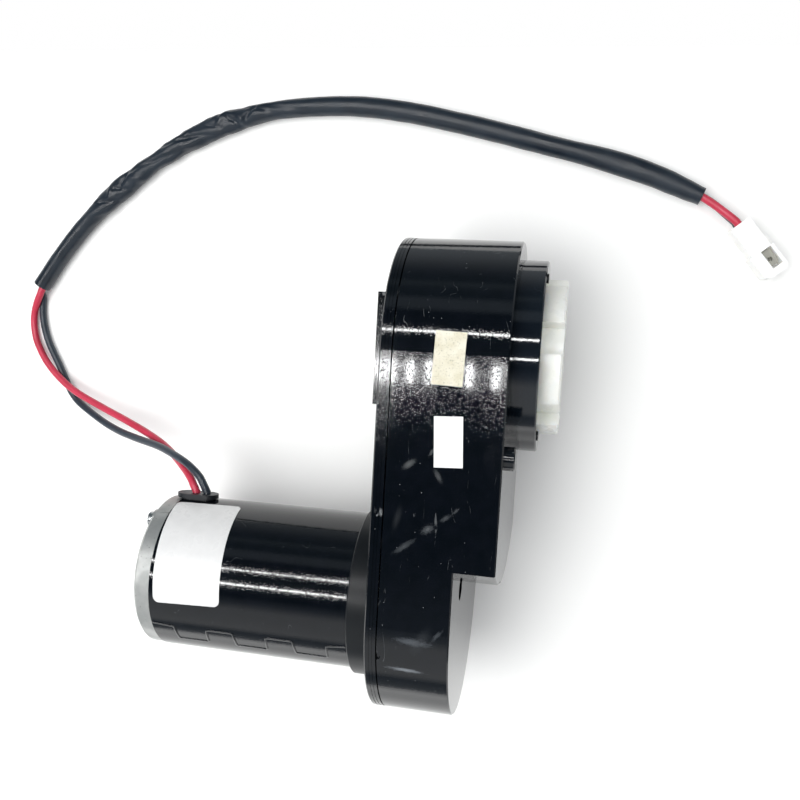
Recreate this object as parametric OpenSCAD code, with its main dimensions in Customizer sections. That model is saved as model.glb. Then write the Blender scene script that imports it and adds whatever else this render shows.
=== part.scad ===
// Brushed DC gearmotor for the driven wheel of a ride-on vehicle: a permanent-magnet motor
// beside a three-stage spur gearbox, with its leads in a sleeve and a two-pole plug.
// Axes: +X along the output axis towards the wheel, +Y away from the motor, +Z up.
// Origin: on the output axis, in the parting plane between the gear case and its cover.
// All sizes in millimetres, angles in degrees.

/* [Gear train] */
// Module of the teeth between motor pinion and first gear
stage1_module = 1; // [0.8:0.05:1.2]
// Teeth of the motor pinion
motor_teeth = 14; // [13:1:18]
// Teeth of the first gear
first_gear_teeth = 36; // [32:1:44]
// Module of the teeth between first pinion and second gear
stage2_module = 1.5; // [1.25:0.05:1.8]
// Teeth of the pinion moulded on the first gear
first_pinion_teeth = 24; // [20:1:26]
// Teeth of the second gear
second_gear_teeth = 52; // [46:1:54]
// Module of the teeth between second pinion and output gear
stage3_module = 2; // [1.75:0.05:2.4]
// Teeth of the second pinion
second_pinion_teeth = 14; // [13:1:17]
// Teeth of the output gear
output_teeth = 43; // [40:1:48]
// Height of the first shaft above the line from motor to output
first_shaft_rise = 21.75; // [15:0.25:24]
// Pressure angle of all teeth
pressure_angle = 25; // [22:0.5:27]
// Backlash between two meshing gears, at the pitch circle
backlash = 0.15; // [0.1:0.01:0.3]
// Face width of the first gear
stage1_w = 9; // [8:0.5:10]
// Face width of the second gear
stage2_w = 11; // [9:0.5:13]
// Face width of the output gear
stage3_w = 16; // [13:0.5:19]
// Diameter of the first shaft
first_shaft_d = 6; // [5:0.5:8]
// Diameter of the second shaft
second_shaft_d = 8; // [7:0.5:10]
// Thickness of the washers beside the first and second gears
washer_t = 0.8; // [0.6:0.1:1.2]

/* [Gear case] */
// Wall thickness of case and cover
wall = 3; // [2.5:0.5:4]
// Room between the output gear's tips and the wall beside them
gear_room = 5.5; // [5.5:0.5:8]
// Depth of the cover, from its outer face to the parting plane
cover_depth = 6; // [5:0.5:8]
// Radius about the output axis at which the deep part of the case ends
step_r = 108; // [102:1:112]
// Diameter of the bosses for the case screws
boss_d = 10.4; // [9:0.2:12]
// Chamfer along the outer edges of case and cover
edge = 0.6; // [0.3:0.1:1.2]
// How far the two bosses beside the output flange stand out of the case
stub_len = 4.8; // [3:0.2:8]
// Diameter of the case screws' shanks
case_screw_d = 3.5; // [3:0.25:4]
// Length of the case screws under the head
case_screw_len = 20; // [16:1:28]
// Side of the square block that keys the gearbox into the chassis
block_side = 52; // [46:1:60]
// Height of that block on the cover
block_h = 8; // [5:0.5:12]
// Length of the collar that holds the front of the motor
collar_len = 12; // [10:0.5:20]
// Wall of that collar
collar_wall = 2.3; // [2:0.1:4]

/* [Output] */
// Diameter of the wheel axle's hole through the output gear
axle_hole_d = 12.4; // [10:0.2:14]
// Diameter over the six driving dogs
dogs_d = 73; // [66:0.5:76]
// Diameter of the valleys between the dogs
valleys_d = 60; // [54:0.5:64]
// Length of the dogs outside the flange
dogs_len = 9.4; // [6:0.2:16]
// Angle that one dog takes at its foot
dog_angle = 37; // [28:1:42]
// Wall of the output flange round the dogs' journal
flange_wall = 8.44; // [7.5:0.02:11]
// Length of the output flange
flange_len = 12; // [8:0.5:18]
// Diameter of the output hub in its bush
hub_d = 24; // [20:0.5:26]
// Wall of the bush in the cover
bush_wall = 3; // [2:0.5:4]

/* [Motor] */
// Outer diameter of the motor can
can_d = 76; // [70:0.5:84]
// Wall of the motor can
can_wall = 3; // [2:0.25:4]
// Length of the motor can
can_len = 103; // [96:1:120]
// Thickness of the front end plate
front_plate_t = 8; // [7:0.5:10]
// Thickness of the rear end cap's rim
rear_cap_t = 8.5; // [8:0.5:11]
// How much smaller the rear end cap is than the can, in diameter
rear_cap_step = 1; // [0:0.5:2]
// Diameter of the motor shaft
motor_shaft_d = 8; // [7:0.5:9]
// Outer diameter of the ball bearings
bearing_d = 22; // [20:0.5:24]
// Width of the ball bearings
bearing_w = 7; // [6:0.5:8]
// Diameter of the armature core
core_d = 48; // [44:0.5:50]
// Length of the armature core
core_len = 45; // [36:1:52]
// Number of slots in the armature core
slots = 12; // [8:2:14]
// Air gap between core and magnets
air_gap = 1; // [0.5:0.1:1.5]
// Length of the field magnets
magnet_len = 60; // [50:1:64]
// Angle that one magnet covers
magnet_angle = 128; // [110:2:134]
// Diameter of the commutator
commutator_d = 24; // [22:0.5:26]
// Diameter of the through bolts
bolt_d = 4; // [3.5:0.5:5]
// Distance from the can's bore to the through bolts' surface
bolt_gap = 0.5; // [0.3:0.1:1]
// Angle of the through bolts about the motor, from +Y
bolt_angle = 29; // [20:1:40]
// Diameter of the motor screws
motor_screw_d = 5; // [4:0.5:6]
// Pitch circle of the motor screws
motor_screw_pcd = 50; // [46:1:54]

/* [Leads and plug] */
// Diameter of one lead
lead_d = 4; // [3:0.25:4.5]
// Distance between the leads in the grommet
lead_pitch = 6; // [5.6:0.1:6.4]
// Length of the grommet's top along the motor
grommet_len = 21.6; // [20:0.2:24]
// Width of the grommet's top
grommet_w = 11; // [10:0.2:13]
// Outer diameter of the sleeve on the leads
sleeve_d = 10.5; // [10:0.5:12]
// Length of the plug
plug_len = 31; // [28:0.5:34]
// Width of the plug at its wire end
plug_w = 10.5; // [10:0.25:12]
// Height of the plug, across its two poles
plug_h = 14; // [13:0.5:16]
// Width of a blade in the plug
blade_w = 6.3; // [4.8:0.1:6.3]

/* [Fits] */
// Radial clearance of a running fit
running = 0.06; // [0.02:0.01:0.1]
// Radial clearance of a seated part
seated = 0.02; // [0.01:0.01:0.05]
// Clearance of a part dropped into a pocket
loose = 0.2; // [0.1:0.05:0.4]

/* [Hidden] */
$fn = 96;

// Gear train: centre distances, and the place of each axis as [y, z].
stage1_a = stage1_module * (motor_teeth + first_gear_teeth) / 2;
stage2_a = stage2_module * (first_pinion_teeth + second_gear_teeth) / 2;
stage3_a = stage3_module * (second_pinion_teeth + output_teeth) / 2;
second_axis = [-stage3_a, 0];
first_axis = [-stage3_a - sqrt(pow(stage2_a, 2) - pow(first_shaft_rise, 2)), first_shaft_rise];
motor_axis = [first_axis[0] - sqrt(pow(stage1_a, 2) - pow(first_shaft_rise, 2)), 0];
centre_dist = -motor_axis[0];
mesh1_angle = atan2(first_axis[1] - motor_axis[1], first_axis[0] - motor_axis[0]);
mesh2_angle = atan2(second_axis[1] - first_axis[1], second_axis[0] - first_axis[0]);
mesh3_angle = 0;

// Stations along X, from the parting plane. End play is left on both sides of each washer.
end_play = 0.1;
first_gear_x = 0.5;
first_pinion_x = first_gear_x + stage1_w;
second_gear_x = first_pinion_x + 1;
first_gear_end = second_gear_x + stage2_w + 0.5;
second_pinion_x = second_gear_x + stage2_w + 0.2;
output_x = second_gear_x + stage2_w + 5.5;
output_end = output_x + stage3_w;
washer_room = washer_t + 2 * end_play;
output_washer_t = 1;
shallow_inside = first_gear_end + 7;
deep_inside = output_end + 4;
shallow_depth = shallow_inside + wall;
deep_depth = deep_inside + wall;
flange_face = deep_depth + flange_len;

// Gear case: outer radius at both ends, which is also its height above the ground.
output_tip_r = stage3_module * (output_teeth / 2 + 1);
case_r = output_tip_r + gear_room + wall;
floor_z = -case_r;
cover_face = -cover_depth;
plate_inside = cover_face + wall;
collar_end = cover_face - collar_len;
collar_r = can_d / 2 + loose + collar_wall;
pad_r = motor_screw_pcd / 2 + 6;
pad_inside = cover_face + 5;
rim_boss_d = 7.4;
flank_boss_inset = wall + boss_d / 2 - 0.5;
rim_boss_inset = 4;
// Case screws: [y, z, boss diameter]. Three stand round the output gear, six beside the train.
flank = case_r - flank_boss_inset;
round_end = case_r - rim_boss_inset;
case_screw_places = concat(
    [for (a = [-60, 0, 60]) [round_end * cos(a), round_end * sin(a), rim_boss_d]],
    [for (s = [-1, 1]) [-0.357 * centre_dist, s * flank, boss_d]],
    [for (s = [-1, 1]) [-0.697 * centre_dist, s * flank, boss_d]],
    [for (a = [135, 225]) [motor_axis[0] + flank * cos(a), flank * sin(a), boss_d]]);
stub_places = [for (p = case_screw_places) if (abs(p[0] + 0.357 * centre_dist) < 0.01) p];
groove = 0.6;
screw_head_d = 6.6;
screw_head_h = 2.4;
screw_seat = cover_face + screw_head_h + 0.2;

// Output: the dogs' journal runs in the flange, the hub in a bush in the keying block.
block_face = cover_face - block_h;
bush_d = hub_d + 2 * running + 2 * bush_wall;
flange_bore_d = dogs_d + 2 * running;
flange_d = flange_bore_d + 2 * flange_wall;
case_opening_d = dogs_d + 2;
seat_ring_d = dogs_d + 7;
register_d = flange_d - 8;
register_h = 1.5;
flange_screw_r = flange_bore_d / 2 + flange_wall * 0.53;
flange_screw_d = 3;
flange_screw_angles = [30, 150, 210, 330];

// Motor stations.
can_front = cover_face - front_plate_t;
can_rear = cover_face - can_len - front_plate_t;
can_bore_r = can_d / 2 - can_wall;
cap_face = can_rear - rear_cap_t;
bolt_r = can_bore_r - bolt_gap - bolt_d / 2;
winding_end = 12;
commutator_len = 16;
commutator_x = can_rear + 5;
core_x = commutator_x + commutator_len + 1 + winding_end;
rear_bearing_x = cap_face + 3.5;
front_bearing_x = can_front - bearing_w / 2;
magnet_bore_r = core_d / 2 + air_gap;
brush_x = commutator_x + 4;
brush_size = [7, 8, 13];
holder_x = commutator_x - 1;
brush_turn = bolt_angle + 90;
seam_angle = 125;

// Leads and plug. The grommet sits in a notch at the can's rear edge.
grommet_x = can_rear + 7;
hole_shift = 2;
plug_place = [151.8, 70.8];
plug_turn = -50;
blade_z = [4, 10];
blade_shift = 1.4;
lead_sides = 8;
// Routes, as chosen by hand: out of the grommet, down to the ground and along it.
red_route = [
    [-111, -88, 0], [-111, -84.5, 0], [-111, -81, 0],
    [-111.9, -79.1, 0], [-113.4, -77.1, -0.6], [-115.7, -74.6, -2.5],
    [-123.9, -69.8, -9.6], [-138.3, -63.5, -21.8], [-152.3, -58.4, -30],
    [-170.3, -52.5, -37], [-191.2, -45.6, -42.5], [-209.2, -38.5, -45.5],
    [-221.1, -31.3, -47.2], [-231.8, -21.7, -49], [-239.9, -10.8, -50.7],
    [-243.6, -3, -51.5], [-244.2, 1.3, -51.4], [-243.7, 5.4, -50.9],
    [-241.4, 10.7, -49.3], [-237.6, 15.5, -47.2], [-236.2, 18.4, -46.4],
    [-235.29, 21.1, -46.1], [-234.44, 22.34, -46.1]];
black_route = [
    [-105, -88, 0], [-105, -84.5, 0], [-105, -81.5, 0],
    [-105.4, -80.3, 0], [-107.6, -76.4, -0.1], [-109.8, -73.2, -0.6],
    [-113.6, -70.2, -1.8], [-119, -67.2, -4], [-127.3, -64.7, -8.7],
    [-142.2, -61.8, -18.3], [-160.2, -60.3, -28.8], [-176, -58.2, -37.1],
    [-189.5, -54.7, -43.4], [-201.9, -49.6, -48.1], [-210.3, -45, -50.3],
    [-214.7, -41.2, -51.2], [-218.3, -36.1, -51.5], [-225.1, -23.3, -51.4],
    [-232.2, -10.4, -51.5], [-235.7, 0, -51.5], [-236.8, 8.6, -51.5],
    [-236.5, 15.6, -51.3],
    [-235.42, 20.58, -50.5], [-234.28, 22.23, -50.4]];
sleeve_route = [
    [-235.5, 23.1, -48.25], [-222.3, 42.2, -48.25], [-206, 62, -48.25], [-187, 80, -48.25],
    [-166, 96, -48.25], [-143, 110, -48.25], [-120, 119.5, -48.25], [-96, 125.5, -48.25],
    [-70, 128, -48.25], [-44, 128, -48.25], [-18, 125, -48.25], [8, 120, -48.25],
    [33, 114.5, -48.25], [58, 108.5, -48.25], [83.2, 102.6, -48.25], [108.3, 95.1, -48.25],
    [133.7, 84.7, -48.25]];
red_tail_route = [
    [133.72, 84.69, -46], [136.5, 83.55, -45.9], [148.6, 74, -43.6], [151.3, 71.4, -43.5],
    [154.37, 67.74, -43.5]];
black_tail_route = [
    [133.72, 84.69, -50.5], [136.5, 83.55, -50.4], [148.6, 74, -49.5], [151.3, 71.4, -49.5],
    [154.37, 67.74, -49.5]];

// ---------- helpers ----------

// Draws in the Y-Z plane at station x: local X is Y, local Y is Z, and local Z is X.
module yz(x) {
    translate([x, 0, 0]) rotate([90, 0, 90]) children();
}

// Moves to an axis given as [y, z].
module at_axis(axis) {
    translate([0, axis[0], axis[1]]) children();
}

// Round bar along X between two stations.
module bar(x0, x1, d) {
    yz(x0) cylinder(d = d, h = x1 - x0);
}

// Tube along X between two stations.
module ring_bar(x0, x1, outer, inner) {
    yz(x0) linear_extrude(x1 - x0) difference() {
        circle(d = outer);
        circle(d = inner);
    }
}

// Slot with round ends, along local X.
module slot2d(length, width) {
    union() {
        translate([-(length - width) / 2, 0]) circle(d = width);
        translate([(length - width) / 2, 0]) circle(d = width);
        translate([-(length - width) / 2, -width / 2]) square([length - width, width]);
    }
}

// Part of a disc between two angles.
module sector2d(r, a0, a1) {
    steps = 6;
    far = r * 1.5;
    intersection() {
        circle(r = r);
        polygon(concat([[0, 0]], [for (i = [0 : steps])
            let (a = a0 + (a1 - a0) * i / steps) far * [cos(a), sin(a)]]));
    }
}

// Involute gear teeth: a tooth's half angle at radius r, and the outline of a whole gear.
function involute(a) = tan(a) * 180 / PI - a;
function tooth_half(m, z, r) =
    let (pitch_r = m * z / 2, base_r = pitch_r * cos(pressure_angle))
    90 / z - backlash / (4 * pitch_r) * 180 / PI + involute(pressure_angle)
    - (r > base_r ? involute(acos(base_r / r)) : 0);
function gear_outline(m, z, phase) =
    let (pitch_r = m * z / 2, tip_r = pitch_r + m, root_r = pitch_r - 1.25 * m,
        base_r = pitch_r * cos(pressure_angle),
        radii = base_r > root_r
            ? [root_r, base_r, (base_r + tip_r) / 2, tip_r]
            : [for (i = [0 : 3]) root_r + (tip_r - root_r) * i / 3])
    [for (k = [0 : z - 1], side = [-1, 1], i = [0 : 3])
        let (r = side < 0 ? radii[i] : radii[3 - i],
            a = phase + 360 * k / z + side * tooth_half(m, z, r))
        r * [cos(a), sin(a)]];

// Gear along X, with a tooth pointing at the angle phase.
module gear(x, m, z, phase, width) {
    yz(x) linear_extrude(width) polygon(gear_outline(m, z, phase));
}

// Cord: rings of n points round the route, joined into one skin.
function unit(v) = v / norm(v);
function heading(route, i) = unit(route[min(i + 1, len(route) - 1)] - route[max(i - 1, 0)]);
function ring_points(centre, along, d, n) =
    let (side = unit(cross(along, [0, 0, 1])), up = cross(side, along))
    [for (k = [0 : n - 1])
        let (a = 360 * (k + 0.5) / n) centre + d / 2 * (cos(a) * side + sin(a) * up)];
module cord(route, d, n) {
    count = len(route);
    points = [for (i = [0 : count - 1]) each ring_points(route[i], heading(route, i), d, n)];
    skin = [for (i = [0 : count - 2], k = [0 : n - 1]) each [
        [i * n + k, i * n + (k + 1) % n, (i + 1) * n + (k + 1) % n],
        [i * n + k, (i + 1) * n + (k + 1) % n, (i + 1) * n + k]]];
    ends = [[for (k = [n - 1 : -1 : 0]) k], [for (k = [0 : n - 1]) (count - 1) * n + k]];
    polyhedron(points, concat(skin, ends));
}

// ---------- gear case ----------

// Outline of the case: two round ends on the output and motor axes.
module case_outline(r) {
    union() {
        circle(r = r);
        translate([-centre_dist, 0]) circle(r = r);
        translate([-centre_dist, -r]) square([centre_dist, 2 * r]);
    }
}

// Block of that outline between two stations, with its edge broken at the far station.
module case_block(x0, x1, r) {
    union() {
        yz(x0) linear_extrude(x1 - edge - x0) case_outline(r);
        for (y = [0, -centre_dist]) translate([0, y, 0])
            yz(x1 - edge) cylinder(r1 = r, r2 = r - edge, h = edge);
        rotate([90, 0, 0]) linear_extrude(centre_dist) polygon([[x1 - edge - 0.1, -r],
            [x1 - edge, -r], [x1, edge - r], [x1, r - edge], [x1 - edge, r],
            [x1 - edge - 0.1, r]]);
    }
}

// Outline of its deep part, which ends on an arc about the output axis.
module deep_outline(inset) {
    intersection() {
        case_outline(case_r - inset);
        circle(r = step_r - inset);
    }
}

module gearbox_housing() {
    color([0.05, 0.05, 0.06]) difference() {
        union() {
            difference() {
                union() {
                    case_block(0, shallow_depth, case_r);
                    intersection() {
                        case_block(0, deep_depth, case_r);
                        yz(-1) union() {
                            cylinder(r = step_r, h = deep_depth - edge + 1);
                            translate([0, 0, deep_depth - edge + 1])
                                cylinder(r1 = step_r, r2 = step_r - edge, h = edge);
                        }
                    }
                }
                yz(-1) linear_extrude(shallow_inside + 1) case_outline(case_r - wall);
                yz(-1) linear_extrude(deep_inside + 1) deep_outline(wall);
            }
            housing_bosses();
        }
        bar(output_end - 1, deep_depth + 1, case_opening_d);
        bar(deep_depth - register_h, deep_depth + 1, register_d + 2 * seated);
        at_axis(first_axis) {
            bar(first_gear_end, shallow_inside - 2, first_shaft_d + 2 * seated);
            bar(shallow_depth - 3.5, deep_depth + 1, 11);
        }
        at_axis(second_axis) bar(output_end, deep_depth - 1.5, second_shaft_d + 2 * seated);
        for (p = case_screw_places)
            translate([0, p[0], p[1]]) bar(-1, case_screw_len - 2, case_screw_d + 2 * seated);
        flange_screw_places()
            bar(output_end + 2.3, deep_depth + 1, flange_screw_d + 2 * seated);
        pry_notch();
    }
}

// Bosses inside the case, and the two that stand out of its deep face.
module housing_bosses() {
    for (p = case_screw_places) translate([0, p[0], p[1]])
        bar(0, norm([p[0], p[1]]) < step_r - wall - p[2] ? deep_inside + 1 : shallow_inside + 1,
            p[2]);
    for (p = stub_places) translate([0, p[0], p[1]]) {
        bar(deep_depth - 1, deep_depth + stub_len - edge, boss_d);
        yz(deep_depth + stub_len - edge) cylinder(d1 = boss_d, d2 = boss_d - 2 * edge, h = edge);
    }
    at_axis(first_axis)
        bar(first_gear_end + washer_room, shallow_inside + 1, first_shaft_d + 9);
    at_axis(second_axis)
        bar(output_end + washer_room, deep_inside + 1, second_shaft_d + 8);
    bar(output_end + output_washer_t + 2 * end_play, deep_inside + 1, seat_ring_d);
    flange_screw_places()
        bar(output_end + output_washer_t + 2 * end_play, deep_inside + 1, 8);
}

// Half-round notch at the parting line, for prising the cover off.
module pry_notch() {
    at_axis(motor_axis) rotate([104.5 - 90, 0, 0])
        translate([0, 0, case_r - 1.2]) cylinder(d = 3.2, h = 3);
}

module gearbox_cover() {
    color([0.05, 0.05, 0.06]) difference() {
        union() {
            difference() {
                mirror([1, 0, 0]) case_block(groove, cover_depth, case_r);
                yz(-groove) linear_extrude(groove) case_outline(case_r - groove);
                yz(plate_inside) linear_extrude(cover_depth) case_outline(case_r - wall);
            }
            cover_bosses();
            keying_block();
            at_axis(motor_axis) {
                bar(cover_face, pad_inside, 2 * pad_r);
                yz(0) rotate_extrude() polygon([[0, collar_end], [collar_r - edge, collar_end],
                    [collar_r, collar_end + edge], [collar_r, cover_face + 1],
                    [0, cover_face + 1]]);
            }
        }
        at_axis(motor_axis) {
            bar(collar_end - 1, cover_face, can_d + 2 * loose);
            bar(cover_face - 1, pad_inside + 1, bearing_d + 4 + 2 * loose);
            motor_screw_places() bar(cover_face - 1, pad_inside + 1, motor_screw_d + 2 * loose);
        }
        for (x = [-0.62, -0.38]) yz(x * cover_depth) linear_extrude(0.4) difference() {
            case_outline(case_r + 1);
            case_outline(case_r - 0.3);
        }
        bar(block_face - 1, 1, bush_d + 2 * seated);
        at_axis(first_axis) bar(cover_face + 1.5, 1, first_shaft_d + 2 * seated);
        at_axis(second_axis) bar(cover_face + 1.5, second_gear_x, second_shaft_d + 2 * seated);
        for (p = case_screw_places) translate([0, p[0], p[1]]) {
            bar(cover_face - 1, 1, case_screw_d + 2 * loose);
            bar(cover_face - 1, screw_seat, screw_head_d + 2 * loose);
        }
    }
}

// Bosses inside the cover.
module cover_bosses() {
    for (p = case_screw_places) translate([0, p[0], p[1]]) bar(screw_seat - 1, 0, p[2]);
    at_axis(first_axis) bar(cover_face, first_gear_x - washer_room, first_shaft_d + 8);
    at_axis(second_axis) bar(cover_face, second_gear_x - washer_room, second_shaft_d + 8);
    bar(cover_face, 0, bush_d + 8);
}

// Square block on the cover, hollowed between its ribs, with a screw recess at each end
// of its upper and lower side.
module keying_block() {
    half = block_side / 2;
    pocket = half - wall - (bush_d / 2 + 3) / sqrt(2);
    difference() {
        yz(block_face) linear_extrude(block_h + 1) square(block_side, center = true);
        for (sy = [-1, 1], sz = [-1, 1])
            yz(block_face - 1) linear_extrude(block_h - 1)
                translate([sy * (half - wall - pocket / 2), sz * (half - wall - pocket / 2)])
                    square(pocket, center = true);
        for (sy = [-1, 1], sz = [-1, 1])
            translate([block_face + 3, sy * (half - 4), sz * (half + 1)])
                rotate([sz > 0 ? 180 : 0, 0, 0]) cylinder(d = 4.4, h = 2.2);
    }
}

// Two motor screws on their pitch circle, clear of the first gear.
module motor_screw_places() {
    for (a = [151, 331]) rotate([a, 0, 0]) translate([0, motor_screw_pcd / 2, 0]) children();
}

module output_flange() {
    color([0.06, 0.06, 0.07]) difference() {
        union() {
            yz(0) rotate_extrude() polygon([[0, deep_depth], [flange_d / 2, deep_depth],
                [flange_d / 2, flange_face - edge], [flange_d / 2 - edge, flange_face],
                [0, flange_face]]);
            bar(deep_depth - register_h, deep_depth + 1, register_d);
        }
        bar(deep_depth - 3, flange_face + 1, flange_bore_d);
        flange_screw_places() bar(deep_depth - 3, flange_face + 1, flange_screw_d + 2 * loose);
    }
}

// Pan head screw along +X: head from x back to x - head_h, shank forward.
module pan_screw(x, length, d, head_d, head_h) {
    difference() {
        union() {
            bar(x, x + length, d);
            bar(x - head_h, x, head_d);
        }
        yz(x - head_h - 1) linear_extrude(1 + head_h * 0.55) {
            square([head_d * 0.6, head_d * 0.14], center = true);
            square([head_d * 0.14, head_d * 0.6], center = true);
        }
    }
}

module flange_screws() {
    color([0.12, 0.12, 0.12]) flange_screw_places()
        translate([2 * flange_face, 0, 0]) mirror([1, 0, 0])
            pan_screw(flange_face, flange_face - output_end - 2.8, flange_screw_d, 4.4, 0.7);
}

// Two screws on each side of the flange.
module flange_screw_places() {
    for (a = flange_screw_angles) rotate([a, 0, 0]) translate([0, flange_screw_r, 0]) children();
}

module case_screws() {
    color([0.2, 0.2, 0.2]) for (p = case_screw_places) translate([0, p[0], p[1]])
        pan_screw(screw_seat, case_screw_len, case_screw_d, screw_head_d, screw_head_h);
}

// ---------- gears ----------

// Profile of the six driving dogs.
module dogs2d() {
    union() {
        circle(d = valleys_d);
        for (k = [0 : 5]) rotate(45 + 60 * k)
            sector2d(dogs_d / 2 - 0.2, -dog_angle / 2, dog_angle / 2);
    }
}

module output_gear() {
    boss_d2 = hub_d + 6;
    rim_d = 2 * (output_tip_r - 2.25 * stage3_module) - 10;
    core_d2 = valleys_d - 7;
    dog_foot = flange_face - 0.5;
    color([0.93, 0.93, 0.9]) difference() {
        union() {
            gear(output_x, stage3_module, output_teeth, 180 + 180 / output_teeth, stage3_w);
            bar(block_face + 0.6, output_x + 1, hub_d);
            bar(end_play * 3, output_x + 1, boss_d2);
            bar(output_end - 1, dog_foot, dogs_d);
            intersection() {
                yz(dog_foot - 1) linear_extrude(flange_face + dogs_len - dog_foot + 1) dogs2d();
                yz(0) rotate_extrude() polygon([[0, dog_foot - 2], [dogs_d, dog_foot - 2],
                    [dogs_d / 2, flange_face + dogs_len - 1],
                    [dogs_d / 2 - 1.2, flange_face + dogs_len], [0, flange_face + dogs_len]]);
            }
        }
        ring_bar(output_x - 1, output_end - 3, rim_d, boss_d2);
        spoked_pocket(output_end + 3, flange_face + dogs_len + 1, core_d2, hub_d);
        bar(block_face - 1, flange_face + dogs_len + 1, axle_hole_d);
    }
}

// Pocket round the hub, crossed by six ribs.
module spoked_pocket(x0, x1, outer, inner) {
    yz(x0) linear_extrude(x1 - x0) difference() {
        circle(d = outer);
        circle(d = inner);
        for (k = [0 : 2]) rotate(15 + 60 * k) square([outer + 2, 3], center = true);
    }
}

module output_bush() {
    color([0.72, 0.55, 0.3]) ring_bar(block_face, 0, bush_d, hub_d + 2 * running);
}

module output_washer() {
    color([0.8, 0.8, 0.82])
        ring_bar(output_end + end_play, output_end + end_play + output_washer_t,
            seat_ring_d, case_opening_d);
}

module first_shaft() {
    color([0.75, 0.75, 0.78]) at_axis(first_axis)
        bar(cover_face + 1.7, shallow_inside - 2.2, first_shaft_d);
}

module first_gear() {
    color([0.9, 0.9, 0.86]) at_axis(first_axis) difference() {
        union() {
            gear(first_gear_x, stage1_module, first_gear_teeth,
                mesh1_angle + 180 + 180 / first_gear_teeth, stage1_w);
            gear(first_pinion_x, stage2_module, first_pinion_teeth, mesh2_angle,
                first_gear_end - first_pinion_x);
        }
        bar(first_gear_x - 1, first_gear_end + 1, first_shaft_d + 2 * running);
    }
}

module second_shaft() {
    color([0.75, 0.75, 0.78]) at_axis(second_axis)
        bar(cover_face + 1.7, deep_depth - 1.7, second_shaft_d);
}

// Hub of the second pinion with two flats, which the second gear is moulded round.
module keyed_hub2d(clear) {
    hub = stage3_module * (second_pinion_teeth - 4) + 2 * clear;
    intersection() {
        circle(d = hub);
        square([hub + 1, hub * 0.85], center = true);
    }
}

module second_gear() {
    web_d = stage2_module * (second_gear_teeth - 2.5) - 8;
    hub_out = stage3_module * (second_pinion_teeth - 4) + 8;
    color([0.9, 0.9, 0.86]) at_axis(second_axis) difference() {
        gear(second_gear_x, stage2_module, second_gear_teeth,
            mesh2_angle + 180 + 180 / second_gear_teeth, stage2_w);
        yz(second_gear_x - 1) linear_extrude(stage2_w + 2) keyed_hub2d(seated);
        ring_bar(second_gear_x - 1, second_gear_x + 3, web_d, hub_out);
        ring_bar(second_gear_x + stage2_w - 3, second_gear_x + stage2_w + 1, web_d, hub_out);
    }
}

module second_pinion() {
    color([0.6, 0.6, 0.62]) at_axis(second_axis) difference() {
        union() {
            yz(second_gear_x) linear_extrude(stage2_w + 1) keyed_hub2d(0);
            gear(second_pinion_x, stage3_module, second_pinion_teeth, mesh3_angle,
                output_end - second_pinion_x);
        }
        bar(second_gear_x - 1, output_end + 1, second_shaft_d + 2 * running);
    }
}

module shaft_washers() {
    color([0.8, 0.8, 0.82]) {
        for (x = [first_gear_x - end_play - washer_t, first_gear_end + end_play])
            at_axis(first_axis)
                ring_bar(x, x + washer_t, first_shaft_d + 6, first_shaft_d + 2 * loose);
        for (x = [second_gear_x - end_play - washer_t, output_end + end_play])
            at_axis(second_axis)
                ring_bar(x, x + washer_t, second_shaft_d + 6, second_shaft_d + 2 * loose);
    }
}

module motor_pinion() {
    color([0.6, 0.6, 0.62]) at_axis(motor_axis) difference() {
        gear(0, stage1_module, motor_teeth, mesh1_angle, first_pinion_x - 0.3);
        bar(-1, first_pinion_x + 1, motor_shaft_d + 2 * seated);
    }
}

// ---------- motor ----------

module motor_can() {
    color([0.06, 0.06, 0.07]) at_axis(motor_axis) difference() {
        ring_bar(can_rear, can_front, can_d, can_d - 2 * can_wall);
        translate([0, can_bore_r - 1, 0]) rotate([-90, 0, 0])
            linear_extrude(can_wall + 2) grommet_notch2d(0);
        rotate([seam_angle, 0, 0]) translate([0, can_d / 2 - 0.8, 0]) rotate([-90, 0, 0])
            linear_extrude(3) seam2d();
    }
}

// Dovetail seam of the rolled can, as a fine groove: three tongues in the rolled joint.
module seam2d() {
    foot = 13.5;
    flare = 1;
    depth = 9.6;
    tongues = [for (k = [0 : 2]) can_rear + 12.5 + 30.5 * k];
    path = concat([[can_rear - 1, depth / 2]],
        [for (x = tongues) each [[x, depth / 2], [x - flare, -depth / 2],
            [x + foot + flare, -depth / 2], [x + foot, depth / 2]]],
        [[can_front + 1, depth / 2]]);
    groove2d(rounded_path(path, 1.5), 0.5);
}

// The path with its inner corners rounded to radius r.
function rounded_path(path, r) = concat([path[0]],
    [for (i = [1 : len(path) - 2]) each corner_arc(path[i - 1], path[i], path[i + 1], r)],
    [path[len(path) - 1]]);

// Points of the arc of radius r that rounds corner q between p and s.
function corner_arc(p, q, s, r) =
    let(u = (p - q) / norm(p - q), v = (s - q) / norm(s - q), half = acos(u * v) / 2,
        centre = q + (u + v) / norm(u + v) * r / sin(half), t = r / tan(half),
        from = q + u * t - centre, to = q + v * t - centre, turn = 180 - 2 * half)
    [for (k = [0 : 0.2 : 1.01])
        centre + (sin((1 - k) * turn) * from + sin(k * turn) * to) / sin(turn)];

// Groove of width w along a path, with square ends.
module groove2d(path, w) {
    last = len(path) - 1;
    ways = [for (i = [0 : last]) let(d = path[min(i + 1, last)] - path[max(i - 1, 0)]) d / norm(d)];
    sides = [for (d = ways) [-d[1], d[0]] * w / 2];
    polygon(concat([for (i = [0 : last]) path[i] + sides[i]],
        [for (i = [last : -1 : 0]) path[i] - sides[i]]));
}

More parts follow.
